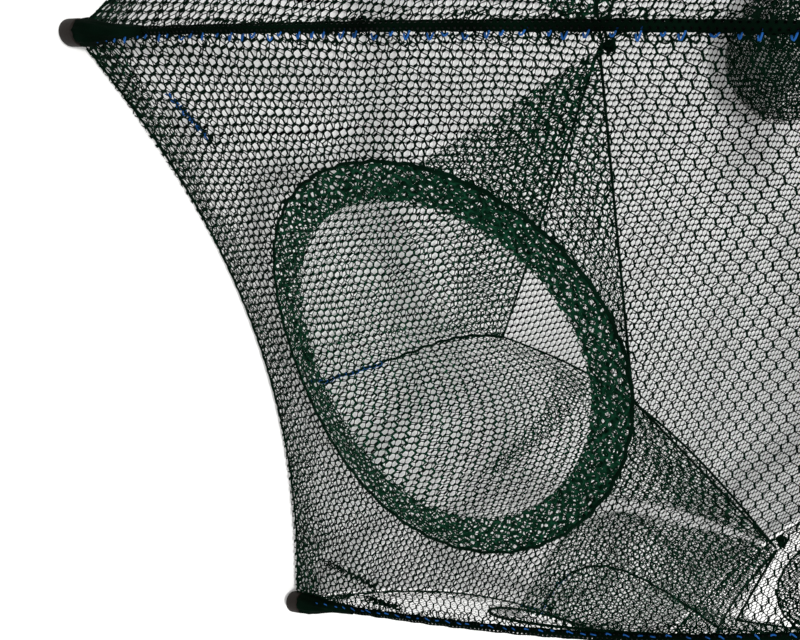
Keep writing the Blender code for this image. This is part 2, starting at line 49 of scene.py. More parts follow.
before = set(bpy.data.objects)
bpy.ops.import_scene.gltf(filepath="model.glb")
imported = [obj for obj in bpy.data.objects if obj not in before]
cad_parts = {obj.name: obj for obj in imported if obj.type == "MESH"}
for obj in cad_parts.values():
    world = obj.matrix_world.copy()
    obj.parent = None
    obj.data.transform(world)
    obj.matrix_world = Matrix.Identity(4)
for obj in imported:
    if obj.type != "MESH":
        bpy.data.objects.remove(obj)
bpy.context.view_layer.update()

# Sizes are in metres; an arc is a distance up from the rim, along a rod or a side's netting

RIBS = 8
SECTOR = math.tau / RIBS
HALF_SECTOR = SECTOR / 2
HALF_SINE = math.sin(HALF_SECTOR)
HALF_COSINE = math.cos(HALF_SECTOR)
HINGE_RADIUS = 0.026
SOCKET_REACH = 0.032
RIB_LENGTH = 0.724
ROOT_SLOPE = math.radians(9.1)
MIDDLE_SLOPE = math.radians(50.3)
TIP_SLOPE = math.radians(62.4)
CAP_HEIGHT = 0.0053
ROD_RADIUS = 0.0015
RIM_SAG = 0.19
UPPER_SAG = 0.10
SAG_FADE = 0.087
NET_TOP_ARC = 0.6895

# The entries; each pair below holds the values of the even and of the odd sides
RING_RADIUS = 0.112
RING_ARC = 0.152
RING_SHIFT = 0.0066
HIGH_TIE = (0.3125, 0.2590)
LOW_TIE = (0.3460, 0.2270)
TIE_INSET = 0.001
LIP_LOW = ((-0.007, 0.360, 0.173), (0.026, 0.322, 0.110))
LIP_TOP = ((0.055, 0.011), (0.024, 0.011))
LIP_BOW = ((-0.004, 0.0), (0.021, 0.013))
LIP_BELOW_RING = 0.003
SLACK_ANGLE = math.radians(50)
SLACK_SPREAD = math.radians(52)
TAUT_PULL = 0.3
SLACK_PULL = 0.6
SLACK_RISE = 0.062
HEM_WIDTH = 0.019
HEM_LAYERS = ((0.0, 0.0004), (0.5, -0.0012), (0.27, -0.0026))
HEM_STAGGER = 1.3
HEM_OVERLAP = 0.001
ENTRY_CORD_RADIUS = 0.00095
FUNNEL_START = RING_RADIUS - HEM_WIDTH
FUNNEL_LENGTH = 0.135
MOUTH_HEM = 0.028
MOUTH_HEM_DEPTH = 0.0012
FUNNEL_SWAY = 0.0016
LIP_CORD_RADIUS = 0.0006
SEAM_START = 0.20
SEAM_TURN = 0.19
SEAM_BOW = 0.10
SEAM_DEPTH = 0.003
SEAM_CORD_RADIUS = 0.0008
THREAD_TURNS = 4.1
THREAD_REACH = 0.0012
THREAD_POINTS = 84
THREAD_RADIUS = 0.00018
PLEAT_GAP = 0.0030
PLEAT_WIDTH = 0.015
PLEAT_LENGTH = 0.12
PLEAT_STRANDS = (0.0009, 0.0007)
PLEAT_DROP = 0.002
PLEAT_ANGLE = 0.56
PLEAT_TURN = 0.68
PLEAT_SPREAD = 0.17
PLEAT_TAPER = 0.07
PLEAT_TOP = 0.90
PLEAT_FALL = 0.66
KNOT_SIZES = (0.0009, 0.0009, 0.001)
KNOT_INSET = 0.985
KNOT_CORD = 0.75
SEAM_KNOT_ANGLE = 0.06
SEAM_KNOT_INSET = 0.004
TANGLE_RADIUS = 0.0005
TANGLES = (
    ("blue", (-0.1545, 0.040), (-0.1275, 0.051), 0.0014, "blue_thread"),
    ("rim", (-0.1500, 0.041), (-0.1240, 0.053), 0.0022, "hem_cord"),
    ("corner", (0.1600, 0.0300), (0.1657, 0.0792), 0.0030, "hem_cord"),
)

# The netting: strand widths are shares of the settings' joint and yarn
SIDE_STRANDS = (0.75, 0.63)
RIM_STRANDS = (1.0, 1.25)
HEM_STRANDS = (1.14, 1.3)
FUNNEL_STRANDS = (0.86, 0.98)
MOUTH_STRANDS = (0.6, 0.6)
SEAM_STRANDS = (0.85, 1.0)
FLOOR_STRANDS = (1.7, 0.9)
JOINT_DRAW = 0.06
CORNER_ROUND = 0.10
WIDEST_STRAND = 0.4
NET_DRAW = 0.016
DRAW_REACH = 0.06
MOST_CRUMPLED = 0.9
COARSE_ARC = 0.16
COARSE_SWELL = 0.75
BUNCH_SWELL = 0.7
RIM_HEM = 0.034
RIM_SWELL = 1.1
RIM_SWELL_REACH = 0.045
RIM_FADE = 0.65
RIM_CORD_END = 0.009
RIM_CORD_RADIUS = 0.0007

# How far past its edge a netting keeps whole meshes, as a share of the row spacing
SIDE_MARGIN = 0.45
STRIP_MARGIN = 0.4

# How much thicker bunched strands are at a place, and how far that reaches
RIM_BUNCH = (0.6, 0.05)
ROD_BUNCH = (0.3, 0.008)
CORNER_BUNCH = (0.9, 0.04)
RING_BUNCH = (0.45, 0.009)

# How far the meshes drift from even, the length of a drift's wave, and the first seed
DRIFTS = {
    "side": (0.00045, 0.07, 11),
    "crumple": (0.0009, 0.014, 31),
    "rim": (0.0010, 0.015, 61),
    "hem": (0.00065, 0.012, 70),
    "pleat": (0.0005, 0.02, 150),
    "floor": (0.0004, 0.07, 5),
    "seam": (0.0007, 0.014, 90),
}

# The side netting's bands: the top of each band and its width when folded
FOLD_BANDS = ((0.09, 0.15), (0.21, 0.21), (0.33, 0.29), (0.47, 0.40), (0.72, 0.56))

FLOOR_WEDGES = 32
FLOOR_TURN = math.radians(-75)
FLOOR_BELOW_TIPS = 0.0008
FLOOR_INSET = 0.008

# The rods' sleeves, seams and stitches, and the netting bunched behind their caps
SLEEVE_RADIUS = ROD_RADIUS + 0.0007
SLEEVE_GAP = 0.0026
SLEEVE_STRANDS = (0.70, 0.62)
SLEEVE_RIPPLE = 0.07
SLEEVE_START = 0.016
SLEEVE_END = NET_TOP_ARC + 0.012
SEAM_WIDTH = 0.0058
SEAM_INSET = 0.02
SEAM_GAP = 0.92
STITCH_RADIUS = 0.0004
STITCH_REACH = 0.0036
STITCH_RISE = 0.0011
STITCH_POINTS = 6
STITCH_SIDES = 4
WRAP_STEPS = 30
WRAP_AROUND = 36
WRAP = (
    (0.0070, 0.0062),
    (0.0078, 0.0072),
    (0.0150, 0.0071),
    (0.0200, 0.0062),
    (0.0280, 0.0048),
    (0.0400, 0.0036),
    (0.0580, 0.0026),
)
CAP_RADIUS = 0.0071
CAP_END = 0.0042
CAP_SHOULDER = 0.0078
CAP_ROUNDING = 0.0024
CAP_EDGE = 0.0009
CAP_NECK_RADIUS = 0.0044
CAP_NECK = 0.0026
CAP_BORE = 0.004
CAP_BORE_GAP = 0.0002
STANDING = 0.00002

# The bait bag: radius and height of its outline as shares, from the middle of its foot up
BAG_PROFILE = (
    (0.02, 0.004), (0.50, 0.0), (0.78, 0.06), (0.95, 0.18), (1.0, 0.36), (0.93, 0.52),
    (0.74, 0.66), (0.46, 0.78), (0.22, 0.85), (0.13, 0.90), (0.19, 1.0),
)
BAG_GAP = 0.0036
BAG_STRANDS = (0.29, 0.19)
BAG_LENGTH = 0.15
BAG_GIRTH = 0.8
BAG_LAYERS = ((1.0, 0.0), (0.96, 0.04))

# Finishes: the setting that holds the colour, its darker and lighter share, and the surface
FIBRES = {
    "net_strand": ("green", 0.28, 0.75, {}),
    # The funnel and hem netting's lighter tone is painted highlight: bright glints spread along
    # the strands over uneven dye
    "funnel_strand": ("green", 0.45, 4.2, {"patch": 330.0}),
    "wrap_net": ("green", 0.15, 0.5, {"roughness": 0.8, "grain": 1400.0, "depth": 0.9}),
    "hem_cord": ("green", 0.3, 0.8, {"roughness": 0.7, "grain": 500.0, "depth": 0.5}),
    "bag_strand": ("green", 0.5, 1.7, {}),
    # The thread's lighter tone is partly painted highlight, light blue glints along the thread,
    # and partly uneven dye
    "blue_thread": ("blue", 1.0, 2.4, {"roughness": 0.5, "grain": 1200.0}),
}
SOLIDS = {
    "rod_fibre": ("rod_colour", {"roughness": 0.45, "grain": 500.0, "depth": 0.1, "shine": 0.15}),
    "cap_rubber": ("cap_colour", {"roughness": 0.6, "grain": 700.0, "depth": 0.3, "shine": 0.16}),
    "hub_plastic": ("plastic_colour", {"roughness": 0.45, "grain": 400.0, "depth": 0.12}),
    "drawn_wire": (
        "wire_colour",
        {"roughness": 0.3, "grain": 900.0, "depth": 0.05, "metallic": 1.0},
    ),
}
BUMP_DISTANCE = 0.0002
FIBRE_SHINE = 0.012

FLOOR_SIZE = 12.0
SKY_STRENGTH = 0.66
LAMP_STRENGTH = 1.85
LAMP_ANGLE = math.radians(9)
LAMP_TURN = (math.radians(4), math.radians(-3), 0.0)
CAMERA_RIGHT = (0.2538, 0.8425, 0.4752)
CAMERA_AHEAD = (0.3603, 0.3735, -0.8548)


def size_setting(name, description, default, least):
    return bpy.props.FloatProperty(
        name=name, description=description, default=default, min=least, unit="LENGTH"
    )


def share_setting(name, description, default):
    return bpy.props.FloatProperty(
        name=name, description=description, default=default, min=0.0, max=1.0, subtype="FACTOR"
    )


def colour_setting(name, description, default):
    return bpy.props.FloatVectorProperty(
        name=name, description=description, default=default, min=0.0, max=1.0, subtype="COLOR"
    )


class NetSettings(bpy.types.PropertyGroup):
    """Sizes and colours of the netting."""

    row_gap: size_setting(
        "Row spacing", "Distance between neighbouring rows of meshes", 0.0048, 0.002
    )
    joint: size_setting("Joint width", "Width of a mesh's two doubled sides", 0.00110, 0.0002)
    yarn: size_setting("Yarn width", "Width of a mesh's four single sides", 0.00070, 0.0002)
    fine_gap: size_setting("Fine row spacing", "Row spacing of the funnels", 0.0042, 0.002)
    hem_gap: size_setting("Hem row spacing", "Row spacing of the gathered hems", 0.0037, 0.002)
    green: colour_setting("Net colour", "Colour of the dyed nylon", (0.0015, 0.0130, 0.0062))
    blue: colour_setting("Thread colour", "Colour of the sewing thread", (0.009, 0.055, 0.19))


class FrameSettings(bpy.types.PropertyGroup):
    """Colours of the rods, caps and hub, and the spacing of the rods' stitches."""

    rod_colour: colour_setting("Rod colour", "Colour of the glass-fibre rods", (0.003,) * 3)
    cap_colour: colour_setting(
        "Cap colour", "Colour of the rubber tip caps", (0.0085, 0.0056, 0.0040)
    )
    plastic_colour: colour_setting(
        "Hub colour", "Colour of the moulded hub and sockets", (0.018, 0.018, 0.019)
    )
    wire_colour: colour_setting("Wire colour", "Colour of the hinge wire", (0.5, 0.5, 0.51))
    stitch_gap: size_setting(
        "Stitch spacing", "Distance between stitches along a rod", 0.0080, 0.003
    )


class StageSettings(bpy.types.PropertyGroup):
    """Camera and floor."""

    eye: bpy.props.FloatVectorProperty(
        name="Camera place",
        description="Where the camera stands",
        subtype="TRANSLATION",
        unit="LENGTH",
        default=(-0.1666, -0.5439, 0.4781),
    )
    lens: bpy.props.FloatProperty(
        name="Lens",
        description="Focal length in millimetres on a 36 mm sensor",
        default=35.55,
        min=10.0,
    )
    floor_glow: share_setting(
        "Floor lift", "How much brighter the floor looks to the camera", 0.12
    )
    floor_tone: share_setting("Floor tone", "Lightness of the studio floor", 0.92)


def settings():
    scene = bpy.context.scene
    return scene.trap_net, scene.trap_frame, scene.trap_stage


# Shape of the trap


def rib_slope(distance):
    """The rib's fall below level; its socket keeps the first stretch straight."""
    share = np.where(distance < SOCKET_REACH, SOCKET_REACH / 2, distance) / RIB_LENGTH
    swing = 2 * (MIDDLE_SLOPE - ROOT_SLOPE) * share
    bend = (TIP_SLOPE - 2 * MIDDLE_SLOPE + ROOT_SLOPE) * (2 * share - 1) * share
    return ROOT_SLOPE + swing + bend


def rib_table(steps=600):
    along = np.linspace(0.0, RIB_LENGTH, steps + 1)
    slope = rib_slope((along[1:] + along[:-1]) / 2)
    step = np.diff(along)
    radius = HINGE_RADIUS + np.concatenate([[0.0], np.cumsum(np.cos(slope) * step)])
    drop = np.concatenate([[0.0], np.cumsum(np.sin(slope) * step)])
    return along, radius, drop


ALONG, RADII, DROPS = rib_table()
HUB_HEIGHT = CAP_HEIGHT + float(DROPS[-1])
TIP_RADIUS = float(RADII[-1])
WIDEST = TIP_RADIUS * HALF_SINE


def rib_at(arc):
    """Radius and height of a rib, at distances up from its tip."""
    along = RIB_LENGTH - np.asarray(arc, dtype=float)
    return np.interp(along, ALONG, RADII), HUB_HEIGHT - np.interp(along, ALONG, DROPS)


def side_points(x, arc):
    """Points of a side's netting in its own frame: across, outward and up."""
    radius, height = rib_at(arc)
    half = radius * HALF_SINE
    sag = half * (UPPER_SAG + (RIM_SAG - UPPER_SAG) * np.exp(-np.asarray(arc) / SAG_FADE))
    share = np.minimum(np.abs(x) / half, 1.0)
    outward = radius * HALF_COSINE - sag * (1 - share * share)
    return np.stack([np.asarray(x, dtype=float), outward, height], axis=-1)


def side_normals(x, arc):
    step = 0.0015
    up = side_points(x, arc + step) - side_points(x, np.maximum(arc - step, 0.0))
    across = side_points(x + step, arc) - side_points(x - step, arc)
    normal = np.cross(up, across)
    return normal / np.linalg.norm(normal, axis=-1, keepdims=True)


def sector_axes(azimuth):
    across = np.array([math.cos(azimuth), math.sin(azimuth), 0.0])
    outward = np.array([math.sin(azimuth), -math.cos(azimuth), 0.0])
    return across, outward


def to_world(local, azimuth):
    across, outward = sector_axes(azimuth)
    up = np.array([0.0, 0.0, 1.0])
    local = np.asarray(local)
    return local[..., :1] * across + local[..., 1:2] * outward + local[..., 2:3] * up


def rib_azimuth(number):
    return (number - 1) * SECTOR - HALF_SECTOR


def side_azimuth(number):
    return (number - 1) * SECTOR


# Netting


def honeycomb(row_gap, low, high):
    """Centres of six-sided meshes that cover a rectangle, columns standing upright."""
    tall = row_gap * 2 / math.sqrt(3)
    columns = np.arange(math.floor(low[0] / row_gap) - 1, math.ceil(high[0] / row_gap) + 2)
    rows = np.arange(math.floor(low[1] / tall) - 1, math.ceil(high[1] / tall) + 2)
    column, row = np.meshgrid(columns, rows, indexing="ij")
    x = column * row_gap
    y = (row + 0.5 * (column % 2)) * tall
    return np.stack([x.ravel(), y.ravel()], axis=-1)


def even_gap(girth, gap):
    """The row spacing, nearest to a given one, that closes round a girth in an even count."""
    return girth / (round(girth / gap / 2) * 2)


def within(centres, gap, girth, low, high):
    """The meshes of a strip that closes on itself round a ring or a rod."""
    margin = gap * STRIP_MARGIN
    near = (centres[:, 0] > -margin) & (centres[:, 0] < girth - gap * (1 - STRIP_MARGIN))
    return near & (centres[:, 1] > low - margin) & (centres[:, 1] < high + margin)


def widths(net, shares):
    """Joint and yarn width of a kind of netting."""
    return net.joint * shares[0], net.yarn * shares[1]


def meeting(spots, size, count):
    """Groups of equal spots that occur a given number of times, as rows of their indices."""
    keys = np.round(spots / size).astype(np.int64)
    _, group, times = np.unique(keys, axis=0, return_inverse=True, return_counts=True)
    order = np.argsort(group.ravel(), kind="stable")
    chosen = order[times[group.ravel()[order]] == count]
    return chosen.reshape(-1, count)


def mesh_cells(centres, kept, row_gap, joint, yarn, swell=None, rounded=False):
    """Strands between meshes and the corners where three meet, round every mesh kept.

    Two opposite sides of a mesh are short doubled joints, the other four are single yarns.
    A rounded mesh has its corners cut, the others are plain hexagons.
    """
    low = centres[kept].min(axis=0) - row_gap * 1.3
    high = centres[kept].max(axis=0) + row_gap * 1.3
    near = ((centres >= low) & (centres <= high)).all(axis=1)
    centres, kept = centres[near], kept[near]
    count = len(centres)
    growth = np.ones(count) if swell is None else swell(centres)

    turns = np.arange(6) * math.pi / 3
    even = np.stack([np.cos(turns), np.sin(turns)], axis=-1) * row_gap * 2 / 3
    drawn = np.array([1, -1, 1, -1, 1, -1]) * row_gap * JOINT_DRAW
    corner = even + np.stack([drawn, np.zeros(6)], axis=-1)
    following = np.roll(corner, -1, axis=0)
    length = np.linalg.norm(following - corner, axis=1)
    along = (following - corner) / length[:, None]
    inward = np.stack([-along[:, 1], along[:, 0]], axis=-1)
    girth = np.array([yarn, joint, yarn, yarn, joint, yarn]) / 2
    if rounded:
        thick = np.minimum(girth * growth[:, None], row_gap * WIDEST_STRAND)[..., None]
        setback = (length * CORNER_ROUND)[None, :, None] + thick * 0.6
        foot = corner + inward * thick
        ends = [foot + along * setback, foot + along * (length[:, None] - setback)]
        points = centres[:, None, None, :] + np.stack(ends, axis=2)
    else:
        normals = np.stack([np.roll(inward, 1, axis=0), inward], axis=1)
        either = np.stack([np.roll(girth, 1), girth], axis=1)
        inset = np.linalg.solve(normals, either[..., None])[..., 0]
        growth = np.minimum(growth, row_gap * WIDEST_STRAND / girth.max())
        points = centres[:, None, :] + corner + inset * growth[:, None, None]

    side = (np.arange(6) + 0.5) * math.pi / 3
    out = np.stack([np.cos(side), np.sin(side)], axis=-1) * row_gap / math.sqrt(3)
    middles = (centres[:, None, :] + out).reshape(-1, 2)
    pairs = meeting(middles, row_gap * 0.02, 2)
    pairs = pairs[kept[pairs // 6].any(axis=1)]
    if rounded:
        one, two = pairs[:, 0] * 2, pairs[:, 1] * 2
        strips = np.stack([one, two + 1, two, one + 1], axis=-1)
    else:
        after = pairs - pairs % 6 + (pairs + 1) % 6
        strips = np.stack([pairs[:, 0], after[:, 1], pairs[:, 1], after[:, 0]], axis=-1)

    corners = (centres[:, None, :] + even).reshape(-1, 2)
    joints = meeting(corners, row_gap * 0.02, 3)
    joints = joints[kept[joints // 6].any(axis=1)]
    order = np.argsort(joints % 6, axis=1)
    joints = np.take_along_axis(joints, order, axis=1)
    if not rounded:
        faces = np.concatenate([strips, joints[:, [0, 1, 2, 2]]])
        return points.reshape(count * 6, 2), faces
    cell, spot = joints // 6, joints % 6
    start = cell * 12 + spot * 2
    end = cell * 12 + (spot - 1) % 6 * 2 + 1
    rim = np.stack([start, end], axis=-1).reshape(-1, 6)
    faces = np.concatenate([strips, rim[:, [0, 1, 2, 3]], rim[:, [0, 3, 4, 5]]])
    return points.reshape(count * 12, 2), faces


def wander(points, kind, number=0):
    """Uneven drift of the meshes, as hand-sewn netting has."""
    size, length, seed = DRIFTS[kind]
    rng = np.random.default_rng(seed + number)
    drift = np.zeros_like(points)
    for _ in range(5):
        wave = np.clip(rng.normal(size=2), -1.3, 1.3) * 2 * math.pi / length
        phase = rng.uniform(0, math.tau)
        push = rng.normal(size=2) * size
        drift += np.sin(points @ wave + phase)[:, None] * push
    return points + drift


def mesh_object(name, points, faces, material):
    """A piece made from arrays of points and faces; a triangle's last corner is given twice."""
    data = bpy.data.meshes.new(name)
    used = np.unique(faces)
    lookup = np.full(len(points), -1)
    lookup[used] = np.arange(len(used))
    points = points[used]
    faces = lookup[faces]
    data.vertices.add(len(points))
    data.vertices.foreach_set("co", points.astype(np.float32).ravel())
    own = np.ones(faces.shape, dtype=bool)
    own[:, 3] = faces[:, 2] != faces[:, 3]
    data.loops.add(int(own.sum()))
    data.loops.foreach_set("vertex_index", faces[own].astype(np.int32))
    data.polygons.add(len(faces))
    starts = np.cumsum(own.sum(axis=1)) - own.sum(axis=1)
    data.polygons.foreach_set("loop_start", starts.astype(np.int32))
    data.polygons.foreach_set("use_smooth", np.full(len(faces), True))
    data.update(calc_edges=True)
    data.validate()
    data.materials.append(material)
    piece = bpy.data.objects.new(name, data)
    bpy.context.scene.collection.objects.link(piece)
    return piece


def drop_flat_faces(points, faces, least=1e-9):
    """Leaves out faces that the trimming has closed up."""
    a, b, c, d = (points[faces[:, n]] for n in range(4))
    size = np.linalg.norm(np.cross(c - a, d - b), axis=-1) / 2
    return faces[size > least]


# Materials


def node_material(name):
    made = bpy.data.materials.new(name)
    made.use_nodes = True
    return made, made.node_tree, made.node_tree.nodes["Principled BSDF"]


def noise_on(tree, scale, detail=2.0):
    """A noise pattern on the piece's own coordinates."""
    place = tree.nodes.new("ShaderNodeTexCoord")
    noise = tree.nodes.new("ShaderNodeTexNoise")
    noise.inputs["Scale"].default_value = scale
    noise.inputs["Detail"].default_value = detail
    tree.links.new(place.outputs["Object"], noise.inputs["Vector"])
    return noise


def tinted(tree, shader, noise, dark, light, low=0.0, high=1.0):
    """Spreads two tones over a finish by a noise pattern."""
    ramp = tree.nodes.new("ShaderNodeValToRGB")
    for stop, spot, tone in zip(ramp.color_ramp.elements, (low, high), (dark, light)):
        stop.position = spot
        stop.color = (*tone, 1)
    tree.links.new(noise.outputs["Fac"], ramp.inputs["Fac"])
    tree.links.new(ramp.outputs["Color"], shader.inputs["Base Color"])


def roughened(tree, shader, noise, depth):
    """Raises a noise pattern in the surface."""
    bump = tree.nodes.new("ShaderNodeBump")
    bump.inputs["Strength"].default_value = depth
    bump.inputs["Distance"].default_value = BUMP_DISTANCE
    tree.links.new(noise.outputs["Fac"], bump.inputs["Height"])
    tree.links.new(bump.outputs["Normal"], shader.inputs["Normal"])


def fibre(name, dark, light, roughness=0.62, grain=900.0, depth=0.35, patch=38.0):
    """Twisted, dyed nylon: uneven dye, which in the funnel, hem and thread finishes also paints
    bright glints, fine twist in the surface, a dull sheen.
    """
    made, tree, shader = node_material(name)
    tinted(tree, shader, noise_on(tree, patch, 4.0), dark, light, 0.35, 0.72)
    roughened(tree, shader, noise_on(tree, grain), depth)
    shader.inputs["Roughness"].default_value = roughness
    shader.inputs["Specular IOR Level"].default_value = FIBRE_SHINE
    return made


def moulded(name, colour, roughness, grain, depth, metallic=0.0, shine=0.5):
    """Moulded plastic, rubber or drawn wire with a fine grain and uneven gloss."""
    made, tree, shader = node_material(name)
    dark, light = [c * 0.75 for c in colour], [min(c * 1.5, 1.0) for c in colour]
    tinted(tree, shader, noise_on(tree, 60.0), dark, light)
    noise = noise_on(tree, grain, 5.0)
    roughened(tree, shader, noise, depth)
    span = tree.nodes.new("ShaderNodeMapRange")
    span.inputs["To Min"].default_value = max(roughness - 0.12, 0.05)
    span.inputs["To Max"].default_value = min(roughness + 0.12, 1.0)
    tree.links.new(noise.outputs["Fac"], span.inputs["Value"])
    tree.links.new(span.outputs["Result"], shader.inputs["Roughness"])
    shader.inputs["Metallic"].default_value = metallic
    shader.inputs["Specular IOR Level"].default_value = shine
    return made


def finish_named(name):
    """The trap's finishes, each made once."""
    found = bpy.data.materials.get(name)
    if found:
        return found
    net, body, _ = settings()
    if name in FIBRES:
        source, dark, light, surface = FIBRES[name]
        colour = getattr(net, source)
        tones = ([min(c * share, 1.0) for c in colour] for share in (dark, light))
        return fibre(name, *tones, **surface)
    source, surface = SOLIDS[name]
    return moulded(name, tuple(getattr(body, source)), **surface)


# Pieces


def strand_sheet(name, flat, faces, place, material):
    """Lays flat netting on a surface."""
    points = place(flat)
    return mesh_object(name, points, drop_flat_faces(points, faces), finish_named(material))


def sewn_to_side(piece, number):
    """Rides on a side, with a mesh of its own."""
    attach(piece, f"side_{number}")
    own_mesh(piece)


def side_netting(name, number, cells, place, material="funnel_strand"):
    """A piece of netting that belongs to a side."""
    piece = strand_sheet(name, *cells, place, material)
    sewn_to_side(piece, number)
    return piece


def side_cord(name, number, path, radius, material="hem_cord", closed=False):
    """A cord that is sewn or tied into a side's netting."""
    cord = swept_tube(name, path, radius, material, closed)
    sewn_to_side(cord, number)
    return cord


def rod_netting(piece, number):
    """Netting that rides on a rod."""
    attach(piece, f"rib_{number}")


def entry_shift(number):
    """The entries sit off the middle of their sides, to the right and left by turns."""
    return RING_SHIFT if number % 2 else -RING_SHIFT


def trim_to_side(flat, number):
    """Pulls netting points onto the side's outline and out of its round entry."""
    flat = flat.copy()
    flat[:, 1] = np.clip(flat[:, 1], 0.0, NET_TOP_ARC)
    radius, _ = rib_at(flat[:, 1])
    edge = radius * HALF_SINE - ROD_RADIUS
    flat[:, 0] = np.clip(flat[:, 0], -edge, edge)
    middle = np.array([entry_shift(number), RING_ARC])
    away = flat - middle
    gap = np.linalg.norm(away, axis=1)
    near = (gap < RING_RADIUS) & (gap > 1e-6)
    flat[near] = middle + away[near] / gap[near, None] * RING_RADIUS
    return flat


def drawn_up(flat):
    """The netting's rows lie closer together towards the cord that gathers the rim."""
    laid = flat.copy()
    laid[:, 1] -= NET_DRAW * (1 - np.exp(-np.maximum(flat[:, 1], 0.0) / DRAW_REACH))
    return laid


def gathering(flat, number):
    """How far a side's netting is bunched up: at its lower edge, its entry and its rods."""
    x, arc = flat[:, 0], np.clip(flat[:, 1], 0.0, NET_TOP_ARC)
    radius, _ = rib_at(arc)
    to_rod = np.maximum(radius * HALF_SINE - np.abs(x), 0.0)
    to_ring = np.abs(np.hypot(x - entry_shift(number), arc - RING_ARC) - RING_RADIUS)
    places = (
        (arc, RIM_BUNCH),
        (to_rod, ROD_BUNCH),
        (np.hypot(to_rod, arc), CORNER_BUNCH),
        (to_ring, RING_BUNCH),
    )
    return sum(share * np.exp(-away / reach) for away, (share, reach) in places)


def build_side_net(number, net):
    """One side's netting, laid in bands."""
    azimuth = side_azimuth(number)
    centres = honeycomb(net.row_gap, (-WIDEST, 0.0), (WIDEST, NET_TOP_ARC + NET_DRAW))
    laid = drawn_up(centres)
    radius, _ = rib_at(laid[:, 1])
    margin = net.row_gap * SIDE_MARGIN
    away = np.hypot(laid[:, 0] - entry_shift(number), laid[:, 1] - RING_ARC)
    inside = np.abs(laid[:, 0]) < radius * HALF_SINE + margin
    inside &= away > RING_RADIUS - margin
    inside &= (laid[:, 1] > -margin) & (laid[:, 1] < NET_TOP_ARC + margin)
    joint, yarn = widths(net, SIDE_STRANDS)

    def swell(flat):
        laid = drawn_up(flat)
        coarse = COARSE_SWELL * np.exp(-((laid[:, 1] / COARSE_ARC) ** 2))
        return 1 + coarse + BUNCH_SWELL * gathering(laid, number)

    def place(flat):
        flat = drawn_up(flat)
        spots = wander(flat, "side", number)
        crumple = wander(flat, "crumple", number) - flat
        spots += crumple * np.minimum(gathering(flat, number), MOST_CRUMPLED)[:, None]
        spots = trim_to_side(spots, number)
        return to_world(side_points(spots[:, 0], spots[:, 1]), azimuth)

    low = -1.0
    for band, (top, share) in enumerate(FOLD_BANDS, 1):
        kept = inside & (laid[:, 1] > low) & (laid[:, 1] <= top)
        cells = mesh_cells(centres, kept, net.row_gap, joint, yarn, swell, rounded=True)
        name = f"side_{number}_netting_{band}"
        piece = side_netting(name, number, cells, place, "net_strand")
        if band == 1:
            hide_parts(f"side_net_{number}")
        low = top


def build_rim_hem(number, net):
    """The doubled netting along a side's lower edge, drawn up by its cord."""
    azimuth = side_azimuth(number)
    gap = net.hem_gap
    centres = honeycomb(gap, (-WIDEST, 0.0), (WIDEST, RIM_HEM))
    radius, _ = rib_at(np.clip(centres[:, 1], 0.0, None))
    margin = gap * SIDE_MARGIN
    kept = np.abs(centres[:, 0]) < radius * HALF_SINE + margin
    ragged = RIM_HEM * (0.8 + 0.2 * np.sin(centres[:, 0] * 95 + number))
    kept &= (centres[:, 1] > -margin) & (centres[:, 1] < ragged)

    def swell(flat):
        to_tip = np.maximum(WIDEST - np.abs(flat[:, 0]), 0.0)
        grown = RIM_SWELL + RIM_SWELL * np.exp(-to_tip / RIM_SWELL_REACH)
        return grown * (1 - RIM_FADE * np.clip(flat[:, 1] / RIM_HEM, 0.0, 1.0))

    def place(flat):
        spots = wander(flat, "rim", number) + np.array([gap * 0.4, 0.0])
        spots = trim_to_side(spots, number)
        local = side_points(spots[:, 0], spots[:, 1])
        lift = 0.0009 + 0.0005 * np.sin(spots[:, 0] * 300)
        local = local - side_normals(spots[:, 0], spots[:, 1]) * lift[:, None]
        return to_world(local, azimuth)

    cells = mesh_cells(centres, kept, gap, *widths(net, RIM_STRANDS), swell)
    side_netting(f"rim_hem_{number}", number, cells, place)


def ring_spots(number, angle, radius):
    """Across and arc of spots on a circle about an entry, from its lowest point."""
    across = entry_shift(number) + radius * np.sin(angle)
    return across, RING_ARC - radius * np.cos(angle)


def swept_tube(name, path, radius, material, closed):
    """A round cord along a path of points, made a mesh."""
    data = bpy.data.curves.new(name, "CURVE")
    data.dimensions = "3D"
    data.bevel_depth = radius
    data.bevel_resolution = 1
    data.use_fill_caps = not closed
    line = data.splines.new("POLY")
    line.points.add(len(path) - 1)
    for target, point in zip(line.points, path):
        target.co = (*point, 1.0)
    line.use_cyclic_u = closed
    guide = bpy.data.objects.new(name, data)
    bpy.context.scene.collection.objects.link(guide)
    graph = bpy.context.evaluated_depsgraph_get()
    mesh = bpy.data.meshes.new_from_object(guide.evaluated_get(graph))
    bpy.data.objects.remove(guide, do_unlink=True)
    bpy.data.curves.remove(data)
    mesh.name = name
    mesh.materials.clear()
    mesh.materials.append(finish_named(material))
    shape = bmesh.new()
    shape.from_mesh(mesh)
    bmesh.ops.remove_doubles(shape, verts=shape.verts, dist=1e-6)
    bmesh.ops.recalc_face_normals(shape, faces=shape.faces)
    shape.to_mesh(mesh)
    shape.free()
    for face in mesh.polygons:
        face.use_smooth = True
    piece = bpy.data.objects.new(name, mesh)
    bpy.context.scene.collection.objects.link(piece)
    return piece


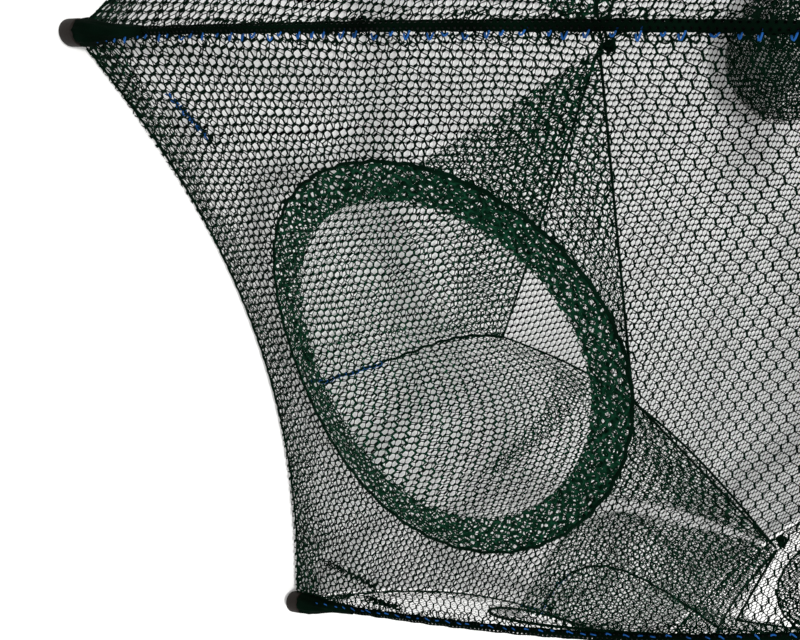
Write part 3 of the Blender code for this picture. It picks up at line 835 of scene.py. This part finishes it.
def build_entry(number, net):
    """The ring cord, its doubled hem and the funnel behind it."""
    azimuth = side_azimuth(number)
    turns = np.linspace(0, math.tau, 200, endpoint=False)
    waver = 0.0004 * np.sin(turns * 37 + number) + 0.0003 * np.sin(turns * 71)
    x, arc = ring_spots(number, turns, RING_RADIUS + waver)
    path = to_world(side_points(x, arc), azimuth)
    cord = side_cord(f"entry_cord_{number}", number, path, ENTRY_CORD_RADIUS, closed=True)
    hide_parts(f"entry_ring_{number}")

    middle = RING_RADIUS - HEM_WIDTH / 2
    girth = math.tau * middle
    gap = even_gap(girth, net.hem_gap)
    low, high = -HEM_WIDTH / 2, HEM_WIDTH / 2
    centres = honeycomb(gap, (0.0, low), (girth, high))
    kept = within(centres, gap, girth, low, high)
    cells = mesh_cells(centres, kept, gap, *widths(net, HEM_STRANDS))

    for layer, (shift, depth) in enumerate(HEM_LAYERS, 1):

        def place(flat, layer=layer, shift=shift, depth=depth):
            angle = (flat[:, 0] + shift * gap * HEM_STAGGER) / middle
            around = np.stack([np.sin(angle), np.cos(angle)], axis=-1) * (middle + flat[:, 1:])
            around = wander(around, "hem", number * 3 + layer)
            angle = np.arctan2(around[:, 0], around[:, 1])
            radius = np.clip(np.hypot(*around.T), FUNNEL_START - HEM_OVERLAP, RING_RADIUS)
            x, arc = ring_spots(number, angle, radius)
            local = side_points(x, arc) + side_normals(x, arc) * depth
            return to_world(local, azimuth)

        side_netting(f"entry_hem_{number}_{layer}", number, cells, place)

    build_funnel(number, net)
    build_pleat(number)
    build_lip_and_seam(number)


def tie_points(number):
    """Where the funnel's mouth is tied beside its two ribs."""
    ties = (LOW_TIE, HIGH_TIE) if number % 2 else (HIGH_TIE, LOW_TIE)
    return [
        np.array([side * (radius * HALF_SINE - TIE_INSET), radius * HALF_COSINE, height])
        for side, (radius, height) in zip((-1, 1), ties)
    ]


def mirrored(number):
    """Even sides are the mirror image of odd ones."""
    return 1 if number % 2 else -1


def mouth_corners(number):
    left, right = tie_points(number)
    mirror = mirrored(number)
    across, out, height = LIP_LOW[number % 2]
    low = np.array([across * mirror, out, height])
    across, depth = LIP_TOP[number % 2]
    rise = math.sqrt(RING_RADIUS**2 - (across - RING_SHIFT) ** 2) - LIP_BELOW_RING
    x, arc = np.array([across * mirror]), np.array([RING_ARC + rise])
    top = (side_points(x, arc) - side_normals(x, arc) * depth)[0]
    return [low, right, top, left]


def mouth_points(number, angle):
    """The funnel's inner edge, by angle round the entry from its lowest point."""
    corners = np.array(mouth_corners(number))
    turn = np.mod(angle, math.tau) / (math.pi / 2)
    quarter = np.floor(turn).astype(int) % 4
    share = turn - np.floor(turn)
    start, end = corners[quarter], corners[(quarter + 1) % 4]
    points = start + (end - start) * share[:, None]
    bow = np.sin(math.pi * share) * (quarter == (0 if number % 2 else 3))
    across, height = LIP_BOW[number % 2]
    return points + bow[:, None] * np.array([-across * mirrored(number), 0.0, height])


def funnel_points(number, angle, share):
    """The funnel's surface: angle round the entry, share of the way to the mouth."""
    x, arc = ring_spots(number, angle, FUNNEL_START)
    near = side_points(x, arc)
    inward = -side_normals(x, arc)
    mouth = mouth_points(number, angle)
    off = np.mod(angle - SLACK_ANGLE * mirrored(number) + math.pi, math.tau) - math.pi
    slack = np.exp(-((off / SLACK_SPREAD) ** 2))[:, None]
    reach = np.linalg.norm(mouth - near, axis=1, keepdims=True)
    handle = near + inward * (reach * (TAUT_PULL + SLACK_PULL * slack))
    handle += slack * np.array([0.0, 0.0, SLACK_RISE])
    t = share[:, None]
    first = near + (handle - near) * t
    second = handle + (mouth - handle) * t
    return first + (second - first) * t


def build_funnel(number, net):
    """The netting from the entry's hem to the mouth, and the mouth's own hem."""
    girth = math.tau * FUNNEL_START
    gap = even_gap(girth, net.fine_gap)
    centres = honeycomb(gap, (0.0, 0.0), (girth, FUNNEL_LENGTH))

    def lay(name, low, depth, shift, strands):
        kept = within(centres, gap, girth, low, FUNNEL_LENGTH)
        cells = mesh_cells(centres, kept, gap, *widths(net, strands))

        def place(flat):
            share = np.clip(flat[:, 1] / FUNNEL_LENGTH, low / FUNNEL_LENGTH, 1.0)
            sway = FUNNEL_SWAY * np.sin(share * 23 + flat[:, 0] * 60)
            angle = (flat[:, 0] + shift + sway) / FUNNEL_START
            near = funnel_points(number, angle, share)
            if depth:
                far = funnel_points(number, angle + 0.02, share)
                back = funnel_points(number, angle, share - 0.02)
                out = np.cross(far - near, back - near)
                size = np.maximum(np.linalg.norm(out, axis=1, keepdims=True), 1e-9)
                wave = 1 + 0.5 * np.sin(angle * 17 + share * 9)
                near = near + out / size * (depth * wave)[:, None]
            return to_world(near, side_azimuth(number))

        return side_netting(name, number, cells, place)

    whole = lay(f"funnel_netting_{number}", 0.0, 0.0, 0.0, FUNNEL_STRANDS)
    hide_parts(f"entry_funnel_{number}")
    low = FUNNEL_LENGTH - MOUTH_HEM
    lay(f"funnel_hem_{number}", low, MOUTH_HEM_DEPTH, gap * 0.5, MOUTH_STRANDS)


def build_lip_and_seam(number):
    """The cord round a funnel's mouth, and the seam from the entry to it with its thread."""
    azimuth = side_azimuth(number)
    turns = np.linspace(0, math.tau, 96, endpoint=False)
    lip = to_world(mouth_points(number, turns), azimuth)
    side_cord(f"funnel_lip_{number}", number, lip, LIP_CORD_RADIUS, closed=True)

    shares = np.linspace(0.0, 1.0, 60)
    bow = SEAM_BOW * np.sin(math.pi * shares) * (1 - shares)
    angles = mirrored(number) * (SEAM_START - SEAM_TURN * shares + bow)
    angles = angles + 0.006 * np.sin(shares * 60)
    seam = to_world(funnel_points(number, angles, shares), azimuth)
    across = np.linspace(RING_RADIUS, FUNNEL_START, 8)[:-1]
    x, arc = ring_spots(number, angles[0], across)
    hem = to_world(side_points(x, arc) - side_normals(x, arc) * SEAM_DEPTH, azimuth)
    seam = np.concatenate([hem, seam])
    side_cord(f"funnel_seam_{number}", number, seam, SEAM_CORD_RADIUS)

    turns = np.linspace(0, 60, 220)
    over = np.stack([np.interp(turns, np.arange(len(seam)), seam[:, n]) for n in range(3)], -1)
    wound = turns * THREAD_TURNS
    wound = np.stack([np.cos(wound), np.sin(wound), np.sin(wound)], -1)
    over = (over + wound * THREAD_REACH)[:THREAD_POINTS]
    side_cord(f"seam_thread_{number}", number, over, THREAD_RADIUS, material="blue_thread")


def build_pleat(number):
    """The fold that the slack netting lies in, from the mouth down towards the entry."""
    size = (PLEAT_WIDTH, PLEAT_LENGTH)
    centres = honeycomb(PLEAT_GAP, (0.0, 0.0), size)
    kept = ((centres >= 0.0) & (centres < size)).all(axis=1)
    cells = mesh_cells(centres, kept, PLEAT_GAP, *PLEAT_STRANDS)

    def place(flat):
        flat = wander(flat, "pleat", number)
        along = flat[:, 1] / PLEAT_LENGTH
        across = (flat[:, 0] / PLEAT_WIDTH - 0.5) * (PLEAT_SPREAD - PLEAT_TAPER * along)
        angle = mirrored(number) * (PLEAT_ANGLE + PLEAT_TURN * along + across)
        local = funnel_points(number, angle, PLEAT_TOP - PLEAT_FALL * along)
        return to_world(local - np.array([0.0, 0.0, PLEAT_DROP]), side_azimuth(number))

    side_netting(f"funnel_pleat_{number}", number, cells, place)


def build_tangles(number):
    """Ends of cord and thread knotted into the netting near a side's lower corners."""
    along = np.linspace(0, 1, 90)
    wave = along * 61 + number
    for name, start, end, size, material in TANGLES:
        x = start[0] + (end[0] - start[0]) * along + size * np.sin(wave * 1.7) * np.sin(wave)
        x = x * mirrored(number)
        arc = start[1] + (end[1] - start[1]) * along + size * np.cos(wave * 1.3)
        depth = 0.0010 + size * (0.5 + 0.5 * np.sin(wave * 2.1))
        local = side_points(x, arc) - side_normals(x, arc) * depth[:, None]
        path = to_world(local, side_azimuth(number))
        side_cord(f"tangle_{number}_{name}", number, path, TANGLE_RADIUS, material)


def build_floor_net(net):
    """The floor netting in thin wedges."""
    height = CAP_HEIGHT - FLOOR_BELOW_TIPS
    centres = honeycomb(net.row_gap, (-TIP_RADIUS,) * 2, (TIP_RADIUS,) * 2)
    spots = turned(centres)
    azimuth = np.arctan2(spots[:, 0], -spots[:, 1])
    distance = np.hypot(spots[:, 0], spots[:, 1])
    inside = distance < floor_edge(azimuth) + net.row_gap * STRIP_MARGIN
    width = math.tau / FLOOR_WEDGES
    wedge = np.floor((azimuth + width / 2) / width) % FLOOR_WEDGES

    def place(flat):
        spots = turned(wander(flat, "floor"))
        limit = floor_edge(np.arctan2(spots[:, 0], -spots[:, 1]))
        distance = np.hypot(spots[:, 0], spots[:, 1])
        spots *= np.minimum(1.0, limit / np.maximum(distance, 1e-6))[:, None]
        return np.column_stack([spots, np.full(len(spots), height)])

    for number in range(FLOOR_WEDGES):
        kept = inside & (wedge == number)
        cells = mesh_cells(centres, kept, net.row_gap, *widths(net, FLOOR_STRANDS))
        piece = strand_sheet(f"floor_netting_{number + 1}", *cells, place, "net_strand")
        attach(piece, "floor")
        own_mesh(piece)
        if number == 0:
            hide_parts("floor_net")


def turned(flat):
    """The floor's netting lies turned against the first side."""
    cos, sin = math.cos(FLOOR_TURN), math.sin(FLOOR_TURN)
    return flat @ np.array([[cos, sin], [-sin, cos]])


def floor_edge(azimuth):
    """How far out the floor's netting reaches in a direction."""
    offset = np.mod(azimuth + HALF_SECTOR, SECTOR) - HALF_SECTOR
    base = TIP_RADIUS * HALF_COSINE
    share = np.minimum(np.abs(base * np.tan(offset)) / WIDEST, 1.0)
    depth = base - WIDEST * RIM_SAG * (1 - share * share)
    return np.minimum(depth / np.cos(offset), TIP_RADIUS - FLOOR_INSET)


def rod_frame(arc):
    """Centre and outward normal of a rod in its own plane, at distances up from its tip."""
    radius, height = rib_at(arc)
    ahead, above = rib_at(np.minimum(arc + 0.003, RIB_LENGTH))
    rise = np.stack([np.zeros_like(radius), ahead - radius, above - height], axis=-1)
    rise /= np.linalg.norm(rise, axis=1, keepdims=True)
    centre = np.stack([np.zeros_like(radius), radius, height], axis=-1)
    outward = np.stack([np.zeros_like(radius), rise[:, 2], -rise[:, 1]], axis=-1)
    return centre, outward


def build_sleeve(number):
    """The net tube sewn round a rod."""
    length = SLEEVE_END - SLEEVE_START
    girth = math.tau * SLEEVE_RADIUS
    gap = even_gap(girth, SLEEVE_GAP)
    centres = honeycomb(gap, (0.0, 0.0), (girth, length))
    kept = within(centres, gap, girth, 0.0, length)
    cells = mesh_cells(centres, kept, gap, *(gap * share for share in SLEEVE_STRANDS))

    def place(flat):
        angle = (flat[:, 0] / SLEEVE_RADIUS)[:, None]
        arc = np.clip(SLEEVE_START + flat[:, 1], SLEEVE_START, SLEEVE_END)
        centre, outward = rod_frame(arc)
        normal = np.array([1.0, 0.0, 0.0]) * np.cos(angle) + outward * np.sin(angle)
        ripple = np.sin(angle * 7 + arc[:, None] * 300) + np.sin(arc * 410)[:, None]
        size = SLEEVE_RADIUS * (1 + SLEEVE_RIPPLE * ripple)
        return to_world(centre + normal * size, rib_azimuth(number))

    piece = strand_sheet(f"rod_sleeve_{number}", *cells, place, "wrap_net")
    rod_netting(piece, number)


def tube_faces(steps, around, start=0):
    """The faces between the rings of a tube whose points are listed ring by ring."""
    faces = []
    for step in range(steps - 1):
        for turn in range(around):
            one = start + step * around + turn
            two = start + step * around + (turn + 1) % around
            faces.append((one, two, two + around, one + around))
    return faces


def build_wrap(number):
    """The netting bunched and bound behind a cap, in folds that run out along the rod."""
    spots, radii = zip(*WRAP)
    arc = np.linspace(spots[0], spots[-1], WRAP_STEPS)
    size = np.interp(arc, spots, radii)
    centre, outward = rod_frame(arc)
    angle = np.linspace(0, math.tau, WRAP_AROUND, endpoint=False)
    points = []
    for step in range(WRAP_STEPS):
        fold = 0.07 * np.sin(angle * 8 + step * 0.35 + number) + 0.04 * np.sin(angle * 13)
        ring = np.cos(angle)[:, None] * np.array([1.0, 0.0, 0.0])
        ring = ring + np.sin(angle)[:, None] * outward[step]
        points.append(centre[step] + ring * (size[step] * (0.95 + fold))[:, None])
    points = to_world(np.concatenate(points), rib_azimuth(number))
    faces = np.array(tube_faces(WRAP_STEPS, WRAP_AROUND))
    piece = mesh_object(f"tip_wrap_{number}", points, faces, finish_named("wrap_net"))
    rod_netting(piece, number)


def build_seam_strip(rib, net):
    """The seam allowance on both sides of a rod: ruffled strips of doubled netting."""
    gap = net.hem_gap * SEAM_GAP
    first, last = SEAM_INSET, NET_TOP_ARC - SEAM_INSET
    centres = honeycomb(gap, (0.0, first), (SEAM_WIDTH, last))
    points, faces = [], []
    for side, edge in ((rib, -1), ((rib - 2) % RIBS + 1, 1)):
        ragged = SEAM_WIDTH * (0.75 + 0.25 * np.sin(centres[:, 1] * 130 + rib + edge))
        kept = (centres[:, 0] > -gap * STRIP_MARGIN) & (centres[:, 0] < ragged)
        kept &= (centres[:, 1] > first) & (centres[:, 1] < last)
        flat, rows = mesh_cells(centres, kept, gap, *widths(net, SEAM_STRANDS))
        spots = wander(flat, "seam", rib * 2 + edge)
        arc = np.clip(spots[:, 1], first, last)
        radius, _ = rib_at(arc)
        inset = np.clip(spots[:, 0], 0.0, SEAM_WIDTH + 0.002) + ROD_RADIUS
        x = edge * (radius * HALF_SINE - inset)
        ruffle = 0.0012 + 0.0011 * np.sin(arc * 260 + 2 * np.sin(arc * 37))
        lift = (ruffle * np.clip(inset / SEAM_WIDTH, 0, 1))[:, None]
        local = side_points(x, arc) - side_normals(x, arc) * lift
        faces.append(rows + sum(len(part) for part in points))
        points.append(to_world(local, side_azimuth(side)))
    points, faces = np.concatenate(points), np.concatenate(faces)
    faces = drop_flat_faces(points, faces)
    piece = mesh_object(f"rod_seam_{rib}", points, faces, finish_named("net_strand"))
    rod_netting(piece, rib)


def build_stitches(number, gap):
    """Blue thread whipped along the rod, a loop at a time."""
    rng = np.random.default_rng(40 + number)
    side = mirrored(number)
    corners = np.arange(STITCH_SIDES) * math.tau / STITCH_SIDES
    points, faces = [], []
    for n in range(int((SLEEVE_END - SLEEVE_START) / gap)):
        start = SLEEVE_START + (n + rng.uniform(0.3, 0.7)) * gap
        arc = start + gap * rng.uniform(0.12, 0.42) * np.linspace(-0.5, 0.5, STITCH_POINTS)
        radius, height = rib_at(np.minimum(arc, RIB_LENGTH))
        swing = np.sin(np.linspace(0.2, math.pi * rng.uniform(0.8, 1.6), STITCH_POINTS))
        across = side * (SLEEVE_RADIUS + STITCH_REACH * swing * rng.uniform(0.3, 1.0))
        rise = STITCH_RISE * np.cos(np.linspace(-1.2, 1.2, STITCH_POINTS))
        line = np.stack([across, radius + rise * 0.6, height + rise * 0.8], axis=-1)
        base = len(points)
        for step in range(STITCH_POINTS):
            ahead = line[min(step + 1, STITCH_POINTS - 1)] - line[max(step - 1, 0)]
            one = np.cross(ahead / np.linalg.norm(ahead), [0.3, 0.5, 0.8])
            one /= np.linalg.norm(one)
            two = np.cross(ahead / np.linalg.norm(ahead), one)
            for angle in corners:
                ring = one * math.cos(angle) + two * math.sin(angle)
                points.append(line[step] + STITCH_RADIUS * ring)
        end = len(points) - STITCH_SIDES
        faces += tube_faces(STITCH_POINTS, STITCH_SIDES, base)
        faces.append([base + turn for turn in reversed(range(STITCH_SIDES))])
        faces.append([end + turn for turn in range(STITCH_SIDES)])
    points = to_world(np.array(points), rib_azimuth(number))
    name = f"rod_stitching_{number}"
    thread = mesh_object(name, points, np.array(faces), finish_named("blue_thread"))
    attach(thread, f"rib_{number}")


def build_rim(number):
    """The cord along a side's lower edge, whipped unevenly into the hem."""
    x = np.linspace(-WIDEST + RIM_CORD_END, WIDEST - RIM_CORD_END, 150)
    waver = 0.0007 + 0.0005 * np.sin(x * 620 + number) + 0.0003 * np.sin(x * 1130)
    path = to_world(side_points(x, waver), side_azimuth(number))
    side_cord(f"rim_cord_{number}", number, path, RIM_CORD_RADIUS)


def build_bag():
    """The bait bag: two layers of fine netting drawn up at the neck."""
    low, high = (np.array(corner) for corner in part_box("bait_bag"))
    centre = (low + high) / 2
    radius, tall = (high[0] - low[0]) / 2, high[2] - low[2]
    widths_up, heights_up = np.array(BAG_PROFILE).T
    steps = np.linspace(0, 1, len(BAG_PROFILE))
    girth = math.tau * radius * BAG_GIRTH
    gap = even_gap(girth, BAG_GAP)
    centres = honeycomb(gap, (0.0, 0.0), (girth, BAG_LENGTH))
    kept = within(centres, gap, girth, 0.0, BAG_LENGTH)
    cells = mesh_cells(centres, kept, gap, *(gap * share for share in BAG_STRANDS))

    for layer, (inner, turn) in enumerate(BAG_LAYERS, 1):

        def place(flat, inner=inner, turn=turn):
            angle = flat[:, 0] / girth * math.tau + turn
            share = np.clip(flat[:, 1] / BAG_LENGTH, 0, 1)
            reach = np.interp(share, steps, widths_up) * radius * inner
            height = low[2] + np.interp(share, steps, heights_up) * tall
            fold = 1 + 0.05 * np.sin(angle * 7 + share * 3) * share
            fold -= 0.04 * np.sin(angle * 3 + 1)
            reach = np.minimum(reach * fold, radius * inner)
            x, y = centre[0] + reach * np.sin(angle), centre[1] + reach * np.cos(angle)
            return np.stack([x, y, height], axis=-1)

        piece = strand_sheet(f"bait_bag_netting_{layer}", *cells, place, "bag_strand")
        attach(piece, "floor")
        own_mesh(piece)
        if layer == 1:
            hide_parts("bait_bag")


def build_knots(number):
    """Tied ends of the net cord: at both ends of a funnel's mouth and at its seam."""
    x, arc = ring_spots(number, np.array([SEAM_KNOT_ANGLE]), RING_RADIUS - SEAM_KNOT_INSET)
    spots = (*tie_points(number), side_points(x, arc)[0])
    turns = np.linspace(0, math.tau, 40, endpoint=False)
    loop = np.stack([
        np.sin(turns) + 2 * np.sin(2 * turns),
        np.cos(turns) - 2 * np.cos(2 * turns),
        -np.sin(3 * turns),
    ], axis=-1)
    for name, spot, size in zip(("left", "right", "seam"), spots, KNOT_SIZES):
        inward = spot * np.array([KNOT_INSET, KNOT_INSET, 1.0])
        path = to_world(inward + loop * size, side_azimuth(number))
        side_cord(f"knot_{number}_{name}", number, path, size * KNOT_CORD, closed=True)


def select_level(model, kind, highest):
    """Selects the edges or faces in the top or bottom plane of a piece in edit mode."""
    bpy.ops.mesh.select_mode(type=kind)
    bpy.ops.mesh.select_all(action="DESELECT")
    shape = bmesh.from_edit_mesh(model.data)
    level = (max if highest else min)(v.co.z for v in shape.verts)
    for part in shape.edges if kind == "EDGE" else shape.faces:
        part.select = all(abs(v.co.z - level) < 1e-6 for v in part.verts)
    bmesh.update_edit_mesh(model.data)


def cap_model():
    """One rubber cap, standing on its round end, with a neck and a bore for the rod."""
    bpy.ops.object.select_all(action="DESELECT")
    length = CAP_END + CAP_SHOULDER
    bpy.ops.mesh.primitive_cylinder_add(
        vertices=48, radius=CAP_RADIUS, depth=length, location=(0.0, 0.0, length / 2 - CAP_END)
    )
    model = bpy.context.object
    bpy.ops.object.transform_apply(location=True, rotation=True, scale=True)
    bpy.ops.object.mode_set(mode="EDIT")
    for highest, width, steps in ((False, CAP_ROUNDING, 6), (True, CAP_EDGE, 3)):
        select_level(model, "EDGE", highest)
        bpy.ops.mesh.bevel(offset=width, segments=steps, profile=0.5)
    select_level(model, "FACE", True)
    bpy.ops.mesh.inset(thickness=CAP_RADIUS - CAP_EDGE - CAP_NECK_RADIUS)
    bpy.ops.mesh.extrude_region_move(TRANSFORM_OT_translate={"value": (0.0, 0.0, CAP_NECK)})
    bpy.ops.mesh.inset(thickness=CAP_NECK_RADIUS - ROD_RADIUS - CAP_BORE_GAP)
    bpy.ops.mesh.extrude_region_move(TRANSFORM_OT_translate={"value": (0.0, 0.0, -CAP_BORE)})
    bpy.ops.object.mode_set(mode="OBJECT")
    return model


def build_caps():
    """Copies the rubber cap to every rod's tip and cuts it off level with the ground."""
    model = cap_model()
    radius, height = rib_at(0.0)
    for number in range(1, RIBS + 1):
        data = model.data.copy()
        piece = bpy.data.objects.new(f"rubber_cap_{number}", data)
        bpy.context.scene.collection.objects.link(piece)
        _, outward = sector_axes(rib_azimuth(number))
        foot = Vector(outward * float(radius)) + Vector((0.0, 0.0, float(height)))
        axis = Vector(-outward * math.cos(TIP_SLOPE)) + Vector((0.0, 0.0, math.sin(TIP_SLOPE)))
        turn = Vector((0.0, 0.0, 1.0)).rotation_difference(axis).to_matrix().to_4x4()
        data.transform(Matrix.Translation(foot) @ turn)
        bpy.ops.object.select_all(action="DESELECT")
        bpy.context.view_layer.objects.active = piece
        piece.select_set(True)
        bpy.ops.object.mode_set(mode="EDIT")
        bpy.ops.mesh.select_all(action="SELECT")
        bpy.ops.mesh.bisect(
            plane_co=(0.0, 0.0, STANDING),
            plane_no=(0.0, 0.0, 1.0),
            use_fill=True,
            clear_inner=True,
        )
        bpy.ops.mesh.select_all(action="SELECT")
        bpy.ops.mesh.normals_make_consistent(inside=False)
        bpy.ops.object.mode_set(mode="OBJECT")
        bpy.ops.object.shade_smooth_by_angle(angle=math.radians(35))
        data.materials.clear()
        data.materials.append(finish_named("cap_rubber"))
        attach(piece, f"rib_{number}")
        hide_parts(f"tip_cap_{number}")
    bpy.data.objects.remove(model, do_unlink=True)


def dress_solids():
    """Better finishes for the moulded and drawn pieces that keep their solids."""
    finishes = {
        "rib_rod": "rod_fibre",
        "rib_socket": "hub_plastic",
        "hub_body": "hub_plastic",
        "hub_cover": "hub_plastic",
        "runner": "hub_plastic",
        "hinge_wire": "drawn_wire",
    }
    for name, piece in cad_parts.items():
        for start, finish in finishes.items():
            if name.startswith(start):
                for slot in piece.material_slots:
                    slot.material = finish_named(finish)


def lay_floor(stage):
    """A plain pale floor that the camera sees a little brighter than it is lit."""
    bpy.ops.object.select_all(action="DESELECT")
    bpy.ops.mesh.primitive_plane_add(size=FLOOR_SIZE, location=(0.0, 0.0, 0.0))
    floor = bpy.context.object
    floor.name = "studio_floor"
    made, tree, shader = node_material("studio_floor")
    tone = stage.floor_tone
    shader.inputs["Base Color"].default_value = (tone, tone, tone * 0.985, 1)
    shader.inputs["Roughness"].default_value = 0.9
    shader.inputs["Specular IOR Level"].default_value = 0.0
    shader.inputs["Emission Color"].default_value = (1, 1, 0.98, 1)
    seen = tree.nodes.new("ShaderNodeLightPath")
    glow = tree.nodes.new("ShaderNodeMath")
    glow.operation = "MULTIPLY"
    glow.inputs[1].default_value = stage.floor_glow
    tree.links.new(seen.outputs["Is Camera Ray"], glow.inputs[0])
    tree.links.new(glow.outputs["Value"], shader.inputs["Emission Strength"])
    floor.data.materials.append(made)


def light_studio(scene):
    """A soft white sky, plain white to the camera, and one broad lamp from overhead."""
    world = bpy.data.worlds.new("studio")
    world.use_nodes = True
    scene.world = world
    nodes, link = world.node_tree.nodes, world.node_tree.links.new
    sky = nodes["Background"]
    sky.inputs["Color"].default_value = (1, 1, 1, 1)
    sky.inputs["Strength"].default_value = SKY_STRENGTH
    white = nodes.new("ShaderNodeBackground")
    white.inputs["Strength"].default_value = 1.0
    path = nodes.new("ShaderNodeLightPath")
    mix = nodes.new("ShaderNodeMixShader")
    link(path.outputs["Is Camera Ray"], mix.inputs["Fac"])
    link(sky.outputs["Background"], mix.inputs[1])
    link(white.outputs["Background"], mix.inputs[2])
    link(mix.outputs["Shader"], nodes["World Output"].inputs["Surface"])

    bpy.ops.object.light_add(type="SUN", location=(0.0, 0.0, 3.0))
    lamp = bpy.context.object
    lamp.name = "overhead_lamp"
    lamp.data.energy = LAMP_STRENGTH
    lamp.data.angle = LAMP_ANGLE
    lamp.rotation_euler = LAMP_TURN


def place_camera(scene):
    """The camera stands and looks as the photograph's did."""
    eye = Vector(scene.trap_stage.eye)
    right = Vector(CAMERA_RIGHT).normalized()
    ahead = Vector(CAMERA_AHEAD).normalized()
    right = (right - ahead * right.dot(ahead)).normalized()
    up = right.cross(ahead)
    bpy.ops.object.camera_add(location=eye)
    camera = bpy.context.object
    camera.name = "photo_camera"
    camera.data.lens = scene.trap_stage.lens
    camera.data.sensor_width = 36.0
    camera.data.clip_start = 0.01
    matrix = Matrix((right, up, -ahead)).transposed().to_4x4()
    camera.matrix_world = Matrix.Translation(eye) @ matrix
    scene.camera = camera


class TRAP_OT_side_nets(bpy.types.Operator):
    """Lays the netting of the eight sides and their lower edges"""

    bl_idname = "trap.side_nets"
    bl_label = "Side nets"

    def execute(self, context):
        net = context.scene.trap_net
        for number in range(1, RIBS + 1):
            build_side_net(number, net)
            build_rim_hem(number, net)
            build_rim(number)
        return {"FINISHED"}


class TRAP_OT_entries(bpy.types.Operator):
    """Makes the eight entries: ring cord, doubled hem, funnel, knots and loose cord ends"""

    bl_idname = "trap.entries"
    bl_label = "Entries"

    def execute(self, context):
        for number in range(1, RIBS + 1):
            build_entry(number, context.scene.trap_net)
            build_knots(number)
            build_tangles(number)
        return {"FINISHED"}


class TRAP_OT_sleeves(bpy.types.Operator):
    """Sews the net sleeves round the eight rods, with their seams and stitches"""

    bl_idname = "trap.sleeves"
    bl_label = "Rod sleeves"

    def execute(self, context):
        scene = context.scene
        for number in range(1, RIBS + 1):
            build_sleeve(number)
            build_wrap(number)
            build_seam_strip(number, scene.trap_net)
            build_stitches(number, scene.trap_frame.stitch_gap)
        return {"FINISHED"}


class TRAP_OT_floor_net(bpy.types.Operator):
    """Lays the floor netting"""

    bl_idname = "trap.floor_net"
    bl_label = "Floor net"

    def execute(self, context):
        build_floor_net(context.scene.trap_net)
        return {"FINISHED"}


class TRAP_OT_bait_bag(bpy.types.Operator):
    """Makes the bait bag"""

    bl_idname = "trap.bait_bag"
    bl_label = "Bait bag"

    def execute(self, context):
        build_bag()
        return {"FINISHED"}


class TRAP_OT_tip_caps(bpy.types.Operator):
    """Makes the rubber caps at the rods' tips"""

    bl_idname = "trap.tip_caps"
    bl_label = "Tip caps"

    def execute(self, context):
        build_caps()
        return {"FINISHED"}


class TRAP_OT_frame_finishes(bpy.types.Operator):
    """Gives the rods, the hub and the runner their finishes"""

    bl_idname = "trap.frame_finishes"
    bl_label = "Frame finishes"

    def execute(self, context):
        dress_solids()
        return {"FINISHED"}


class TRAP_OT_stage(bpy.types.Operator):
    """Sets up the floor, the lamps and the camera"""

    bl_idname = "trap.stage"
    bl_label = "Studio"

    def execute(self, context):
        context.scene.view_settings.view_transform = "Standard"
        lay_floor(context.scene.trap_stage)
        light_studio(context.scene)
        place_camera(context.scene)
        return {"FINISHED"}


class TRAP_PT_panel(bpy.types.Panel):
    """Lists the trap's making steps and sizes"""

    bl_label = "Fish trap"
    bl_idname = "TRAP_PT_panel"
    bl_space_type = "VIEW_3D"
    bl_region_type = "UI"
    bl_category = "Fish trap"

    def draw(self, context):
        layout = self.layout
        for group in settings():
            box = layout.box()
            for name in group.__annotations__:
                box.prop(group, name)
        for step in STEPS:
            layout.operator(f"trap.{step}")


STEPS = (
    "side_nets",
    "entries",
    "sleeves",
    "floor_net",
    "bait_bag",
    "tip_caps",
    "frame_finishes",
    "stage",
)
CLASSES = (
    NetSettings,
    FrameSettings,
    StageSettings,
    TRAP_OT_side_nets,
    TRAP_OT_entries,
    TRAP_OT_sleeves,
    TRAP_OT_floor_net,
    TRAP_OT_bait_bag,
    TRAP_OT_tip_caps,
    TRAP_OT_frame_finishes,
    TRAP_OT_stage,
    TRAP_PT_panel,
)


def register():
    for item in CLASSES:
        bpy.utils.register_class(item)
    bpy.types.Scene.trap_net = bpy.props.PointerProperty(type=NetSettings)
    bpy.types.Scene.trap_frame = bpy.props.PointerProperty(type=FrameSettings)
    bpy.types.Scene.trap_stage = bpy.props.PointerProperty(type=StageSettings)


def unregister():
    del bpy.types.Scene.trap_net
    del bpy.types.Scene.trap_frame
    del bpy.types.Scene.trap_stage
    for item in reversed(CLASSES):
        bpy.utils.unregister_class(item)


def main():
    register()
    for step in STEPS:
        getattr(bpy.ops.trap, step)()


if __name__ == "__main__":
    main()
